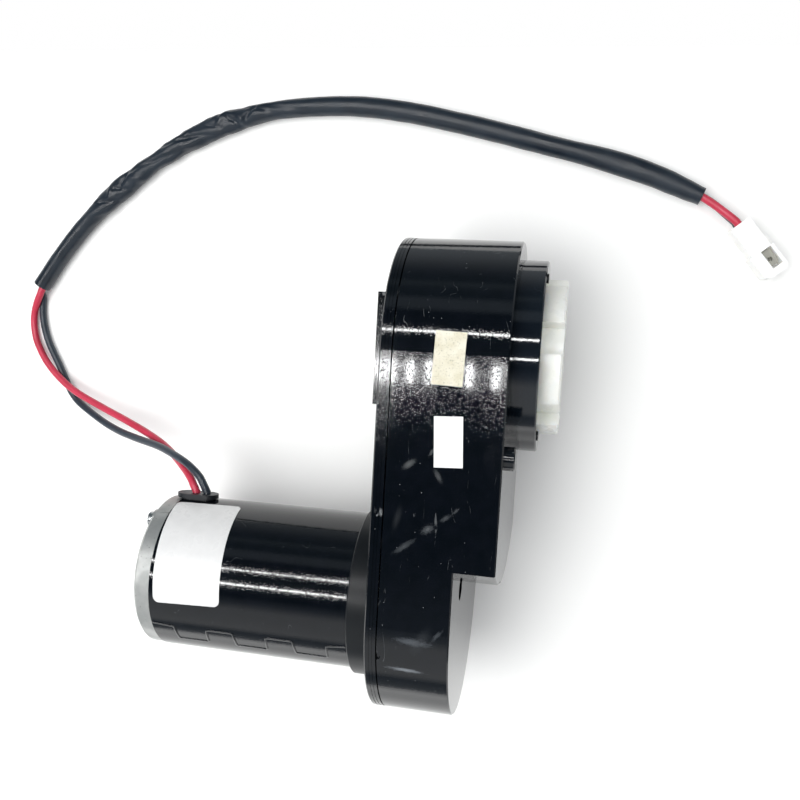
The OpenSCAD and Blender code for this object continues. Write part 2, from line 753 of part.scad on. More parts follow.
// Notch for the grommet, open at the can's rear edge. Local X is X, local Y is -Z.
module grommet_notch2d(inset) {
    front = grommet_x + grommet_len / 2 - 2.4;
    width = grommet_w - 3;
    translate([front - width / 2, 0]) circle(d = width - 2 * inset);
    translate([can_rear - (inset > 0 ? 0 : 1), -width / 2 + inset])
        square([front - width / 2 - can_rear + (inset > 0 ? 0 : 1), width - 2 * inset]);
}

module field_magnets() {
    color([0.25, 0.25, 0.26]) at_axis(motor_axis)
        for (k = [0, 1]) yz(core_x + core_len / 2 - magnet_len / 2) linear_extrude(magnet_len)
            rotate(brush_turn + 180 * k) difference() {
                sector2d(can_bore_r - 0.1, -magnet_angle / 2, magnet_angle / 2);
                circle(r = magnet_bore_r);
            }
}

// Places of the two through bolts, about the motor's axis.
module bolt_places() {
    for (k = [0, 1]) rotate([bolt_angle + 180 * k, 0, 0]) translate([0, bolt_r, 0]) children();
}

module rear_end_cap() {
    r = (can_d - rear_cap_step) / 2;
    boss_r = bearing_d / 2 + 3;
    color([0.55, 0.55, 0.56]) at_axis(motor_axis) difference() {
        union() {
            yz(0) rotate_extrude() polygon([[0, cap_face], [r - 1.5, cap_face],
                [r, cap_face + 1.5], [r, can_rear], [can_bore_r - 0.1, can_rear],
                [can_bore_r - 0.1, can_rear + 2], [can_bore_r - 3, can_rear + 2],
                [can_bore_r - 3, cap_face + 4], [boss_r, cap_face + 4],
                [boss_r, rear_bearing_x + bearing_w], [0, rear_bearing_x + bearing_w]]);
            bar(cap_face - 1.2, cap_face + 1, 2 * boss_r);
            bolt_places() bar(cap_face, can_rear, bolt_d + 6);
        }
        bar(rear_bearing_x, can_rear + bearing_w, bearing_d + 2 * seated);
        bar(rear_bearing_x - 1.5, rear_bearing_x + 1, bearing_d - 6);
        bolt_places() bar(cap_face - 2, can_rear + 3, bolt_d + 0.4);
        translate([0, can_bore_r - 6, 0]) rotate([-90, 0, 0]) linear_extrude(9)
            translate([can_rear + 0.01, -grommet_w / 2 - 1]) square([5, grommet_w + 2]);
    }
}

module front_end_plate() {
    boss_r = bearing_d / 2 + 3;
    color([0.5, 0.5, 0.52]) at_axis(motor_axis) difference() {
        union() {
            bar(can_front, cover_face, can_d);
            ring_bar(can_front - 3, can_front + 1, 2 * can_bore_r - 0.2, 2 * can_bore_r - 6);
            bar(front_bearing_x - 1, can_front + 1, 2 * boss_r);
            bar(cover_face - 1, pad_inside - 2, bearing_d + 4);
        }
        bar(front_bearing_x - 2, front_bearing_x + bearing_w, bearing_d + 2 * seated);
        bar(can_front, pad_inside, motor_shaft_d + 4);
        bolt_places() bar(can_front - 4, cover_face - 1.5, bolt_d + 2 * seated);
        motor_screw_places() bar(can_front + 1, cover_face + 1, motor_screw_d + 2 * seated);
    }
}

module through_bolts() {
    color([0.78, 0.78, 0.8]) at_axis(motor_axis) bolt_places()
        pan_screw(cap_face, cover_face - 2 - cap_face, bolt_d, bolt_d + 3.4, 2.8);
}

module motor_screws() {
    color([0.7, 0.7, 0.72]) at_axis(motor_axis) motor_screw_places()
        translate([2 * pad_inside, 0, 0]) mirror([1, 0, 0])
            pan_screw(pad_inside, pad_inside - can_front - 1.5, motor_screw_d, 9, 2.8);
}

module armature_shaft() {
    color([0.75, 0.75, 0.78]) at_axis(motor_axis) union() {
        bar(rear_bearing_x - 0.5, first_pinion_x + 2, motor_shaft_d);
        bar(commutator_x - 1, core_x + core_len + winding_end + 1, motor_shaft_d + 2);
    }
}

// Armature slots: a round pocket for each coil side, open to the air gap when neck is true.
module slots2d(d, neck) {
    for (k = [0 : slots - 1]) rotate(360 * k / slots) {
        translate([core_d * 0.365, 0]) circle(d = d);
        if (neck) translate([core_d * 0.365, -1]) square([core_d / 5, 2]);
    }
}

module armature_core() {
    color([0.45, 0.45, 0.47]) at_axis(motor_axis) yz(core_x) linear_extrude(core_len)
        difference() {
            circle(d = core_d);
            circle(d = motor_shaft_d + 2 + 2 * seated);
            slots2d(core_d * 0.15, true);
        }
}

module armature_windings() {
    outer = core_d * 0.45;
    inner = motor_shaft_d / 2 + 2;
    color([0.72, 0.4, 0.2]) at_axis(motor_axis) union() {
        yz(core_x - 1) linear_extrude(core_len + 2) slots2d(core_d * 0.15 - 0.2, false);
        for (x = [core_x - winding_end, core_x + core_len + 0.1])
            yz(x) rotate_extrude() polygon([[inner, 0], [outer - 3, 0], [outer, 3],
                [outer, winding_end - 3.1], [outer - 2, winding_end - 0.1],
                [inner, winding_end - 0.1]]);
    }
}

module commutator() {
    r = commutator_d / 2;
    gap = 0.5;
    color([0.72, 0.45, 0.25]) at_axis(motor_axis) difference() {
        union() {
            bar(commutator_x, commutator_x + commutator_len, commutator_d);
            bar(commutator_x + commutator_len - 2, commutator_x + commutator_len,
                commutator_d + 4);
        }
        bar(commutator_x - 1, commutator_x + commutator_len + 1, motor_shaft_d + 2 + 2 * seated);
        for (k = [0 : 2 * slots - 1]) rotate([360 * (k + 0.5) / (2 * slots), 0, 0])
            translate([commutator_x - 1, r - 1, -gap / 2])
                cube([commutator_len + 2, 5, gap]);
    }
}

// Sealed ball bearing, with a shallow step between each race and its shield.
module ball_bearing(x) {
    shaft_r = motor_shaft_d / 2 + seated;
    outer_r = bearing_d / 2;
    step = 0.4;
    yz(x) rotate_extrude() polygon([
        [shaft_r, 0], [shaft_r + 2, 0], [shaft_r + 2, step], [outer_r - 2, step],
        [outer_r - 2, 0], [outer_r, 0], [outer_r, bearing_w], [outer_r - 2, bearing_w],
        [outer_r - 2, bearing_w - step], [shaft_r + 2, bearing_w - step],
        [shaft_r + 2, bearing_w], [shaft_r, bearing_w]]);
}

module rear_bearing() {
    color([0.7, 0.7, 0.72]) at_axis(motor_axis) ball_bearing(rear_bearing_x);
}

module front_bearing() {
    color([0.7, 0.7, 0.72]) at_axis(motor_axis) ball_bearing(front_bearing_x);
}

// Carries each brush: the first local axis points out along the brush.
module brush_places() {
    for (k = [0, 1]) rotate([brush_turn + 180 * k, 0, 0]) children();
}

module brush_holder() {
    box = [brush_size[0] + 4, brush_size[2] - 3, brush_size[1] + 3];
    start = commutator_d / 2 + 2;
    color([0.35, 0.2, 0.12]) at_axis(motor_axis) difference() {
        union() {
            ring_bar(holder_x - 2, holder_x, 2 * can_bore_r - 0.6, commutator_d + 8);
            brush_places() {
                translate([holder_x - 1, start, -box[2] / 2]) cube(box);
                translate([0, start + 8, 12]) bar(holder_x - 1, brush_x + brush_size[0], 5.4);
            }
        }
        brush_places() translate([brush_x - 0.1, start - 1, -brush_size[1] / 2 - 0.1])
            cube([brush_size[0] + 0.2, box[1] + 2, brush_size[1] + 0.2]);
        bolt_places() bar(holder_x - 3, holder_x + 1, bolt_d + 1);
        translate([holder_x - 3, can_bore_r - 8, -grommet_w / 2 - 1])
            cube([6, 10, grommet_w + 2]);
    }
}

module brushes() {
    color([0.2, 0.2, 0.2]) at_axis(motor_axis) difference() {
        brush_places() translate([brush_x, commutator_d / 2 - 1, -brush_size[1] / 2])
            cube([brush_size[0], brush_size[2] + 1, brush_size[1]]);
        bar(brush_x - 1, brush_x + brush_size[0] + 1, commutator_d + 0.2);
    }
}

// Coiled strip round the holder's post, with an arm on the back of the brush.
module brush_springs() {
    back = commutator_d / 2 + brush_size[2] + 0.1;
    post = commutator_d / 2 + 10;
    color([0.75, 0.75, 0.78]) at_axis(motor_axis) brush_places()
        yz(brush_x + 1.5) linear_extrude(brush_size[0] - 3) union() {
            translate([post, 12]) difference() {
                circle(r = 3.6);
                circle(r = 3);
            }
            translate([back, -3]) square([0.6, 15]);
        }
}

// ---------- leads, sleeve and plug ----------

module cable_grommet() {
    inner_r = can_bore_r;
    outer_r = can_d / 2;
    color([0.08, 0.08, 0.08]) at_axis(motor_axis) difference() {
        union() {
            grommet_layer(outer_r + 0.5, 2.2) slot2d(grommet_len, grommet_w);
            grommet_layer(outer_r - 1, 2) slot2d(grommet_len - 3, grommet_w - 1.6);
            grommet_layer(inner_r - 1, can_wall + 2) translate([-grommet_x, 0])
                grommet_notch2d(0.1);
            intersection() {
                grommet_layer(inner_r - 3, 3) slot2d(grommet_len - 4, grommet_w);
                bar(can_rear + 0.5, can_rear + 40, 2 * inner_r - 0.1);
            }
        }
        intersection() {
            ring_bar(can_rear - 20, can_rear + 40, can_d + 0.1, 2 * inner_r - 0.1);
            difference() {
                grommet_layer(inner_r - 4, can_wall + 8) square([60, 40], center = true);
                grommet_layer(inner_r - 5, can_wall + 10) translate([-grommet_x, 0])
                    grommet_notch2d(0.1);
            }
        }
        for (s = [-1, 1]) grommet_layer(inner_r - 5, 20)
            translate([hole_shift + s * lead_pitch / 2, 0]) circle(d = lead_d + 0.2);
    }
}

// One layer of the grommet, from a height above the motor's axis.
module grommet_layer(height, t) {
    translate([grommet_x, height, 0]) rotate([-90, 0, 0]) linear_extrude(t) children();
}

module red_lead() {
    color([0.75, 0.08, 0.12]) cord(red_route, lead_d, lead_sides);
}

module black_lead() {
    color([0.08, 0.08, 0.09]) cord(black_route, lead_d, lead_sides);
}

module cable_sleeve() {
    color([0.1, 0.1, 0.11]) cord(sleeve_route, sleeve_d, 10);
}

module red_tail() {
    color([0.75, 0.08, 0.12]) cord(red_tail_route, lead_d, lead_sides);
}

module black_tail() {
    color([0.08, 0.08, 0.09]) cord(black_tail_route, lead_d, lead_sides);
}

// Plug frame: local X from the wire end to the mating face, local Z up from the ground.
module at_plug() {
    translate([plug_place[0], plug_place[1], floor_z]) rotate([0, 0, plug_turn]) children();
}

module plug_housing() {
    hood_x = 17;
    hood_w = plug_w + 2.5;
    cavity_x = plug_len - 13.5;
    skin = 1.6;
    color([0.95, 0.95, 0.93]) at_plug() difference() {
        union() {
            translate([0, -plug_w / 2, 0]) cube([hood_x + 1, plug_w, plug_h]);
            linear_extrude(plug_h) polygon([[hood_x, -hood_w / 2], [plug_len - 2, -hood_w / 2],
                [plug_len, -hood_w / 2 + 3], [plug_len, hood_w / 2 - 2],
                [plug_len - 1.5, hood_w / 2], [hood_x, hood_w / 2]]);
            translate([0, 0, plug_h / 2 - 3]) linear_extrude(6)
                polygon([[10.5, plug_w / 2 - 1], [10.5, plug_w / 2 + 0.6], [13, plug_w / 2 + 2.2],
                    [17, plug_w / 2 + 2.2], [18.5, plug_w / 2 + 1], [18.5, plug_w / 2 - 1]]);
        }
        translate([cavity_x, -hood_w / 2 + skin, skin])
            cube([plug_len, hood_w - 2 * skin, plug_h - 2 * skin]);
        translate([cavity_x, blade_shift - 2, plug_h - skin - 1])
            cube([plug_len - 3.5 - cavity_x, 5.4, skin + 2]);
        for (z = blade_z) {
            translate([-1, 0, z]) rotate([0, 90, 0]) cylinder(d = lead_d + 0.4, h = 5);
            translate([3, blade_shift - blade_w / 2 - 0.1, z - 0.5])
                cube([plug_len, blade_w + 0.2, 1]);
        }
    }
}

// Two blades with a round hole and one cut corner each, one above the other.
module plug_blades() {
    start = 4.5;
    tip = plug_len - 4.5;
    low = blade_shift - blade_w / 2;
    high = blade_shift + blade_w / 2;
    color([0.7, 0.69, 0.64]) at_plug() for (z = blade_z) translate([0, 0, z - 0.4])
        linear_extrude(0.8) difference() {
            polygon([[start, low], [tip, low], [tip, high - 2], [tip - 1.2, high], [start, high]]);
            translate([tip - 3.6, blade_shift + 0.3]) circle(d = 2.3);
        }
}

gearbox_housing();
gearbox_cover();
output_flange();
flange_screws();
case_screws();
output_gear();
output_bush();
output_washer();
first_shaft();
first_gear();
second_shaft();
second_gear();
second_pinion();
shaft_washers();
motor_pinion();
motor_can();
field_magnets();
rear_end_cap();
front_end_plate();
through_bolts();
motor_screws();
armature_shaft();
armature_core();
armature_windings();
commutator();
rear_bearing();
front_bearing();
brush_holder();
brushes();
brush_springs();
cable_grommet();
red_lead();
black_lead();
cable_sleeve();
red_tail();
black_tail();
plug_housing();
plug_blades();
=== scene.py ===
"""Brushed DC gearmotor with its leads and plug: finishes, paper labels, cords, light and camera."""

from __future__ import annotations

import logging
import math
from dataclasses import dataclass, field
from enum import Enum
from typing import Any, Sequence

import bmesh
import bpy
from mathutils import Matrix, Vector, noise


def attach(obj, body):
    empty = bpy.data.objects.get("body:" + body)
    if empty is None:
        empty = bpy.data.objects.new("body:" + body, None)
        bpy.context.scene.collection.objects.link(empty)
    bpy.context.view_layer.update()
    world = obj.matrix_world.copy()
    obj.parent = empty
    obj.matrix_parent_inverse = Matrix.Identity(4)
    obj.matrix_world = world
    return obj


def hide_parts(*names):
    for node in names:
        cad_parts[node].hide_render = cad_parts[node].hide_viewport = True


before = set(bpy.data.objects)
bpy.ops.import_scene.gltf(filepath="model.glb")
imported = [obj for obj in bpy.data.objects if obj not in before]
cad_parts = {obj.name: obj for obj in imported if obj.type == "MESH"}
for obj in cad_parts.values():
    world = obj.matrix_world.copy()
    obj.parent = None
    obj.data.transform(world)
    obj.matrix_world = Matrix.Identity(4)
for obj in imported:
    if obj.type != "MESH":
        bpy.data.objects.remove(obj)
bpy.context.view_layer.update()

MM = 0.001
UM = 0.000001
UP = Vector((0.0, 0.0, 1.0))

Point = tuple[float, float, float]
Tree = bpy.types.NodeTree
Node = bpy.types.Node
Socket = bpy.types.NodeSocket
Piece = bpy.types.Object
Material = bpy.types.Material

log = logging.getLogger("gearmotor")
logging.basicConfig(level=logging.INFO, format="%(name)s: %(message)s")


# ---------- shared helpers ----------


def linear(colour: str) -> tuple[float, float, float, float]:
    """Turns an sRGB hex colour into linear light.

    Args:
        colour: Six hex digits after a hash sign.

    Returns:
        Red, green, blue and full opacity.
    """
    parts = [int(colour[i : i + 2], 16) / 255 for i in (1, 3, 5)]
    red, green, blue = (p / 12.92 if p <= 0.04045 else ((p + 0.055) / 1.055) ** 2.4 for p in parts)
    return red, green, blue, 1.0


def per_metre(size_mm: float) -> float:
    """Texture scale at which one feature of a pattern is that many millimetres."""
    return 1 / (size_mm * MM)


def add(tree: Tree, kind: str, inputs: dict[str | int, Any] | None = None, **settings: Any) -> Node:
    """Adds a shader node with its settings and what goes into it.

    Args:
        tree: Node tree of the material or the world.
        kind: Node type, without its ShaderNode prefix.
        inputs: Value or linked socket for each input, by name or number.
        settings: The node's own properties.

    Returns:
        The new node.
    """
    node = tree.nodes.new("ShaderNode" + kind)
    for name, value in settings.items():
        setattr(node, name, value)
    for key, value in (inputs or {}).items():
        if isinstance(value, Socket):
            tree.links.new(value, node.inputs[key])
        else:
            node.inputs[key].default_value = value
    return node


def deselect() -> None:
    """Leaves nothing selected and no object active."""
    for thing in bpy.context.selected_objects:
        thing.select_set(False)
    bpy.context.view_layer.objects.active = None


def pick(piece: Piece) -> None:
    """Selects one piece alone and makes it active."""
    deselect()
    piece.select_set(True)
    bpy.context.view_layer.objects.active = piece


def finish_piece(piece: Piece, name: str) -> Piece:
    """Applies a piece's modifiers and its place, and names it.

    Args:
        piece: Mesh object, made at its size and place.
        name: Its name in the table of pieces.

    Returns:
        The same object, at the origin and unturned.
    """
    pick(piece)
    for modifier in list(piece.modifiers):
        bpy.ops.object.modifier_apply(modifier=modifier.name)
    bpy.ops.object.transform_apply(location=True, rotation=True, scale=True)
    piece.name = name
    piece.data.name = name
    return piece


# ---------- finishes ----------


@dataclass(frozen=True)
class Finish:
    """A plain solid finish: a slightly mottled colour over a fine surface grain.

    Attributes:
        name: What it is made of and how.
        colour: Main colour.
        second: Colour that it drifts to.
        roughness: Middle roughness.
        metallic: 1 for bare metal.
        ior: Index of refraction; metals keep the usual one.
        mottle_mm: Width of the colour's drift.
        rough_drift: How far the roughness strays from its middle.
        grain_mm: Width of the surface grain.
        grain_um: Height of the surface grain.
    """

    name: str
    colour: str
    second: str
    roughness: float
    metallic: float = 0.0
    ior: float = 1.5
    mottle_mm: float = 6.0
    rough_drift: float = 0.06
    grain_mm: float = 0.5
    grain_um: float = 4.0

    def material(self) -> Material:
        """Builds the material.

        Returns:
            A material of nodes, named for the finish.
        """
        made = bpy.data.materials.new(self.name)
        made.use_nodes = True
        tree = made.node_tree
        shader = tree.nodes["Principled BSDF"]
        shader.inputs["Metallic"].default_value = self.metallic
        shader.inputs["IOR"].default_value = self.ior
        place = add(tree, "TexCoord").outputs["Object"]
        self.paint(tree, shader, place)
        return made

    def drift(self, tree: Tree, place: Socket) -> Socket:
        """Slow change over the surface.

        Args:
            tree: The material's tree.
            place: Where on the object.

        Returns:
            The change, from 0 to 1.
        """
        broad = add(
            tree, "TexNoise", {"Vector": place, "Scale": per_metre(self.mottle_mm), "Detail": 3.0}
        )
        return add(
            tree, "MapRange", {"Value": broad.outputs["Fac"], "From Min": 0.35, "From Max": 0.65}
        ).outputs["Result"]

    def tint(self, tree: Tree, drift: Socket) -> Socket:
        """Colour that drifts from the main one to the second.

        Args:
            tree: The material's tree.
            drift: The slow change over the surface.

        Returns:
            The colour.
        """
        return add(
            tree,
            "Mix",
            {0: drift, 6: linear(self.colour), 7: linear(self.second)},
            data_type="RGBA",
        ).outputs[2]

    def grain(self, tree: Tree, place: Socket) -> Socket:
        """Fine relief of the surface.

        Args:
            tree: The material's tree.
            place: Where on the object.

        Returns:
            The normal with the relief.
        """
        fine = add(
            tree, "TexNoise", {"Vector": place, "Scale": per_metre(self.grain_mm), "Detail": 2.0}
        )
        return add(
            tree, "Bump", {"Height": fine.outputs["Fac"], "Distance": self.grain_um * UM}
        ).outputs["Normal"]

    def paint(self, tree: Tree, shader: Node, place: Socket) -> None:
        """Links colour, roughness and relief to the shader.

        Args:
            tree: The material's tree.
            shader: Its principled shader.
            place: Where on the object.
        """
        drift = self.drift(tree, place)
        rough = add(
            tree,
            "MapRange",
            {
                "Value": drift,
                "To Min": self.roughness - self.rough_drift,
                "To Max": self.roughness + self.rough_drift,
            },
        )
        tree.links.new(self.tint(tree, drift), shader.inputs["Base Color"])
        tree.links.new(rough.outputs["Result"], shader.inputs["Roughness"])
        tree.links.new(self.grain(tree, place), shader.inputs["Normal"])

    def overlay(
        self, tree: Tree, shader: Node, mask: Socket, colour: str, rougher: float = 0.0
    ) -> None:
        """Lays another colour over the finish and roughens it there.

        Args:
            tree: The material's tree.
            shader: Its principled shader, with colour and roughness linked.
            mask: Where it lies, from 0 to 1.
            colour: Colour of what lies there.
            rougher: How much it adds to the roughness.
        """
        skin, rough = shader.inputs["Base Color"], shader.inputs["Roughness"]
        over = add(
            tree,
            "Mix",
            {0: mask, 6: skin.links[0].from_socket, 7: linear(colour)},
            data_type="RGBA",
        )
        tree.links.new(over.outputs[2], skin)
        if rougher:
            raised = add(
                tree,
                "Math",
                {0: mask, 1: rougher, 2: rough.links[0].from_socket},
                operation="MULTIPLY_ADD",
                use_clamp=True,
            )
            tree.links.new(raised.outputs[0], rough)


@dataclass(frozen=True)
class Mark:
    """A worn or smeared patch at one place on a surface.

    Attributes:
        centre: Its middle, in millimetres.
        half: Its half length, half breadth and half depth, in millimetres.
        turn: Its angle about Z, in degrees.
        colour: Colour of what has rubbed off on it.
        share: How dense it is.
        streak_mm: Width of its streaks.
    """

    centre: Point
    half: Point
    turn: float
    colour: str
    share: float
    streak_mm: float = 1.2

    def mask(self, tree: Tree, place: Socket) -> Socket:
        """Where the mark is, from 0 to 1.

        Args:
            tree: The material's tree.
            place: Where on the object.

        Returns:
            The mask.
        """
        local = add(
            tree,
            "Mapping",
            {
                "Vector": place,
                "Location": [v * MM for v in self.centre],
                "Rotation": (0.0, 0.0, math.radians(self.turn)),
                "Scale": [v * MM for v in self.half],
            },
            vector_type="TEXTURE",
        )
        near = add(tree, "TexGradient", {0: local.outputs[0]}, gradient_type="SPHERICAL")
        streaks = add(
            tree,
            "TexNoise",
            {
                "Vector": local.outputs[0],
                "Scale": self.half[1] / self.streak_mm,
                "Detail": 5.0,
                "Roughness": 0.7,
            },
        )
        # Dense in the middle, and broken into streaks towards the edge.
        edge = add(
            tree,
            "Math",
            {0: near.outputs["Fac"], 1: 0.55, 2: streaks.outputs["Fac"]},
            operation="MULTIPLY_ADD",
        )
        worn = add(
            tree,
            "MapRange",
            {"Value": edge.outputs[0], "From Min": 0.66, "From Max": 0.84, "To Max": self.share},
        )
        return add(
            tree,
            "Math",
            {0: worn.outputs["Result"], 1: near.outputs["Fac"]},
            operation="MULTIPLY",
            use_clamp=True,
        ).outputs[0]


@dataclass(frozen=True)
class GlossMoulding(Finish):
    """Black plastic or paint with a polished skin that has been handled.

    It mirrors lamps sharply. Dust, short scratches and wiped grease break the mirror up, and a
    slow waviness of the skin bends straight reflections.

    Attributes:
        dust: Share of the dust cells that hold a speck.
        scratch: How much the scratches show.
        grease: How much the wiped smears show.
        pit_um: Depth of the fine pits that break highlights up.
        wave_um: Height of the slow waviness.
        marks: Scuffs at their places.
        matt_end: X and Y below which the surface is matt charcoal, in millimetres.
        dust_mm: Size of a dust cell.
        scratch_mm: Width of the pattern whose contour lines are the scratches.
        patch_mm: Width of the patches where scratches show.
        smear_mm: Breadth of a smear.
        pit_mm: Distance between pits, drawn coarser than the real ones so that they show.
        wave_mm: Width of the slow waviness.
    """

    dust: float = 0.5
    scratch: float = 0.5
    grease: float = 0.5
    pit_um: float = 10.0
    wave_um: float = 30.0
    marks: tuple[Mark, ...] = ()
    matt_end: tuple[float, float] | None = None
    dust_mm: float = 2.5
    scratch_mm: float = 7.0
    patch_mm: float = 11.0
    smear_mm: float = 16.0
    pit_mm: float = 0.8
    wave_mm: float = 24.0

    def specks(self, tree: Tree, place: Socket) -> Socket:
        """Dust: one round speck of about 0.3 mm in some of the cells.

        Args:
            tree: The material's tree.
            place: Where on the object.

        Returns:
            The mask of the specks.
        """
        cells = add(
            tree,
            "TexVoronoi",
            {"Vector": place, "Scale": per_metre(self.dust_mm), "Randomness": 1.0},
        )
        chosen = add(
            tree, "Math", {0: cells.outputs["Color"], 1: 1 - self.dust}, operation="GREATER_THAN"
        )
        speck = add(
            tree,
            "MapRange",
            {
                "Value": cells.outputs["Distance"],
                "From Min": 0.03,
                "From Max": 0.1,
                "To Min": 1.0,
                "To Max": 0.0,
            },
        )
        return add(
            tree, "Math", {0: chosen.outputs[0], 1: speck.outputs["Result"]}, operation="MULTIPLY"
        ).outputs[0]

    def scratches(self, tree: Tree, place: Socket) -> Socket:
        """Scratches: contour lines of a stretched noise, about 0.2 mm wide, in patches.

        Args:
            tree: The material's tree.
            place: Where on the object.

        Returns:
            The mask of the scratches.
        """
        turned = add(
            tree,
            "Mapping",
            {"Vector": place, "Rotation": (0.3, 0.2, 0.7), "Scale": (1.0, 0.16, 1.0)},
        )
        lines = add(
            tree,
            "TexNoise",
            {"Vector": turned.outputs[0], "Scale": per_metre(self.scratch_mm), "Detail": 1.0},
        )
        off_line = add(tree, "Math", {0: lines.outputs["Fac"], 1: 0.5}, operation="SUBTRACT")
        apart = add(tree, "Math", {0: off_line.outputs[0]}, operation="ABSOLUTE")
        line = add(
            tree,
            "MapRange",
            {
                "Value": apart.outputs[0],
                "From Min": 0.0,
                "From Max": 0.006,
                "To Min": 1.0,
                "To Max": 0.0,
            },
        )
        patches = add(
            tree,
            "TexNoise",
            {"Vector": place, "Scale": per_metre(self.patch_mm), "Detail": 4.0, "Roughness": 0.7},
        )
        patch = add(
            tree, "MapRange", {"Value": patches.outputs["Fac"], "From Min": 0.55, "From Max": 0.62}
        )
        return add(
            tree,
            "Math",
            {0: line.outputs["Result"], 1: patch.outputs["Result"]},
            operation="MULTIPLY",
        ).outputs[0]

    def smears(self, tree: Tree, place: Socket) -> Socket:
        """Grease, wiped into smears about twice as long as broad.

        Args:
            tree: The material's tree.
            place: Where on the object.

        Returns:
            The thickness of the grease, from 0 to its share.
        """
        wiped = add(
            tree,
            "Mapping",
            {"Vector": place, "Rotation": (0.0, 0.0, 0.6), "Scale": (1.0, 0.5, 1.0)},
        )
        film = add(
            tree,
            "TexNoise",
            {
                "Vector": wiped.outputs[0],
                "Scale": per_metre(self.smear_mm),
                "Detail": 5.0,
                "Roughness": 0.6,
                "Distortion": 0.8,
            },
        )
        return add(
            tree,
            "MapRange",
            {
                "Value": film.outputs["Fac"],
                "From Min": 0.52,
                "From Max": 0.75,
                "To Max": self.grease,
            },
        ).outputs["Result"]

    def relief(self, tree: Tree, place: Socket) -> Socket:
        """Slow waves, and on them fine pits with polished skin between.

        A lamp's reflection stays sharp in the skin, with glitter from the pits round it.

        Args:
            tree: The material's tree.
            place: Where on the object.

        Returns:
            The normal with both.
        """
        slow = add(
            tree, "TexNoise", {"Vector": place, "Scale": per_metre(self.wave_mm), "Detail": 0.0}
        )
        wave = add(tree, "Bump", {"Height": slow.outputs["Fac"], "Distance": self.wave_um * UM})
        pits = add(
            tree,
            "TexVoronoi",
            {"Vector": place, "Scale": per_metre(self.pit_mm), "Randomness": 1.0},
        )
        pit = add(
            tree,
            "MapRange",
            {
                "Value": pits.outputs["Distance"],
                "From Min": 0.05,
                "From Max": 0.5,
                "To Min": 1.0,
                "To Max": 0.0,
            },
            interpolation_type="SMOOTHSTEP",
        )
        return add(
            tree,
            "Bump",
            {
                "Height": pit.outputs["Result"],
                "Distance": self.pit_um * UM,
                "Normal": wave.outputs["Normal"],
            },
        ).outputs["Normal"]

    def matted(self, tree: Tree, shader: Node, place: Socket) -> None:
        """Makes one end matt charcoal, which also mirrors less than the polished skin.

        Args:
            tree: The material's tree.
            shader: Its principled shader, with colour and roughness linked.
            place: Where on the object.
        """
        axes = add(tree, "SeparateXYZ", {0: place})
        behind, beyond = (
            add(tree, "Math", {0: axes.outputs[name], 1: limit * MM}, operation="LESS_THAN")
            for name, limit in zip("XY", self.matt_end)
        )
        matt = add(
            tree, "Math", {0: behind.outputs[0], 1: beyond.outputs[0]}, operation="MULTIPLY"
        ).outputs[0]
        self.overlay(tree, shader, matt, "#15181b", 0.26)
        mirror = add(tree, "Math", {0: matt, 1: -0.25, 2: 0.5}, operation="MULTIPLY_ADD")
        tree.links.new(mirror.outputs[0], shader.inputs["Specular IOR Level"])

    def paint(self, tree: Tree, shader: Node, place: Socket) -> None:
        """Links colour, roughness and relief, with the dirt and wear that lie on them.

        Args:
            tree: The material's tree.
            shader: Its principled shader.
            place: Where on the object.
        """
        tree.links.new(self.tint(tree, self.drift(tree, place)), shader.inputs["Base Color"])
        greased = add(
            tree,
            "Math",
            {0: self.smears(tree, place), 1: 0.16, 2: self.roughness},
            operation="MULTIPLY_ADD",
        )
        tree.links.new(greased.outputs[0], shader.inputs["Roughness"])
        dirt = add(
            tree,
            "Math",
            {0: self.scratches(tree, place), 1: self.scratch, 2: self.specks(tree, place)},
            operation="MULTIPLY_ADD",
        )
        self.overlay(tree, shader, dirt.outputs[0], "#7d8183", 0.4)
        for mark in self.marks:
            self.overlay(tree, shader, mark.mask(tree, place), mark.colour, 0.35)
        if self.matt_end:
            self.matted(tree, shader, place)
        tree.links.new(self.relief(tree, place), shader.inputs["Normal"])


@dataclass(frozen=True)
class MilkyNylon(Finish):
    """Unfilled nylon: light goes a few millimetres in, so that edges glow.

    Attributes:
        depth_mm: How far light goes in.
        share: Share of light that goes in.
    """

    depth_mm: float = 3.0
    share: float = 0.4

    def paint(self, tree: Tree, shader: Node, place: Socket) -> None:
        """Links the plain finish and sets the light that goes in, red furthest and blue least.

        Args:
            tree: The material's tree.
            shader: Its principled shader.
            place: Where on the object.
        """
        super().paint(tree, shader, place)
        shader.inputs["Subsurface Weight"].default_value = self.share
        shader.inputs["Subsurface Radius"].default_value = (1.0, 0.9, 0.75)
        shader.inputs["Subsurface Scale"].default_value = self.depth_mm * MM


@dataclass(frozen=True)
class CastMetal(Finish):
    """Die-cast metal, tumbled: a dull grey skin with small pits and brighter rubs.

    Attributes:
        pit_mm: Distance between pits.
    """

    pit_mm: float = 3.0

    def paint(self, tree: Tree, shader: Node, place: Socket) -> None:
        """Links the plain finish and adds dark pits.

        Args:
            tree: The material's tree.
            shader: Its principled shader.
            place: Where on the object.
        """
        super().paint(tree, shader, place)
        cells = add(tree, "TexVoronoi", {"Vector": place, "Scale": per_metre(self.pit_mm)})
        pit = add(
            tree,
            "MapRange",
            {
                "Value": cells.outputs["Distance"],
                "From Min": 0.05,
                "From Max": 0.14,
                "To Min": 0.6,
                "To Max": 0.0,
            },
        )
        self.overlay(tree, shader, pit.outputs["Result"], "#4c4c4a")


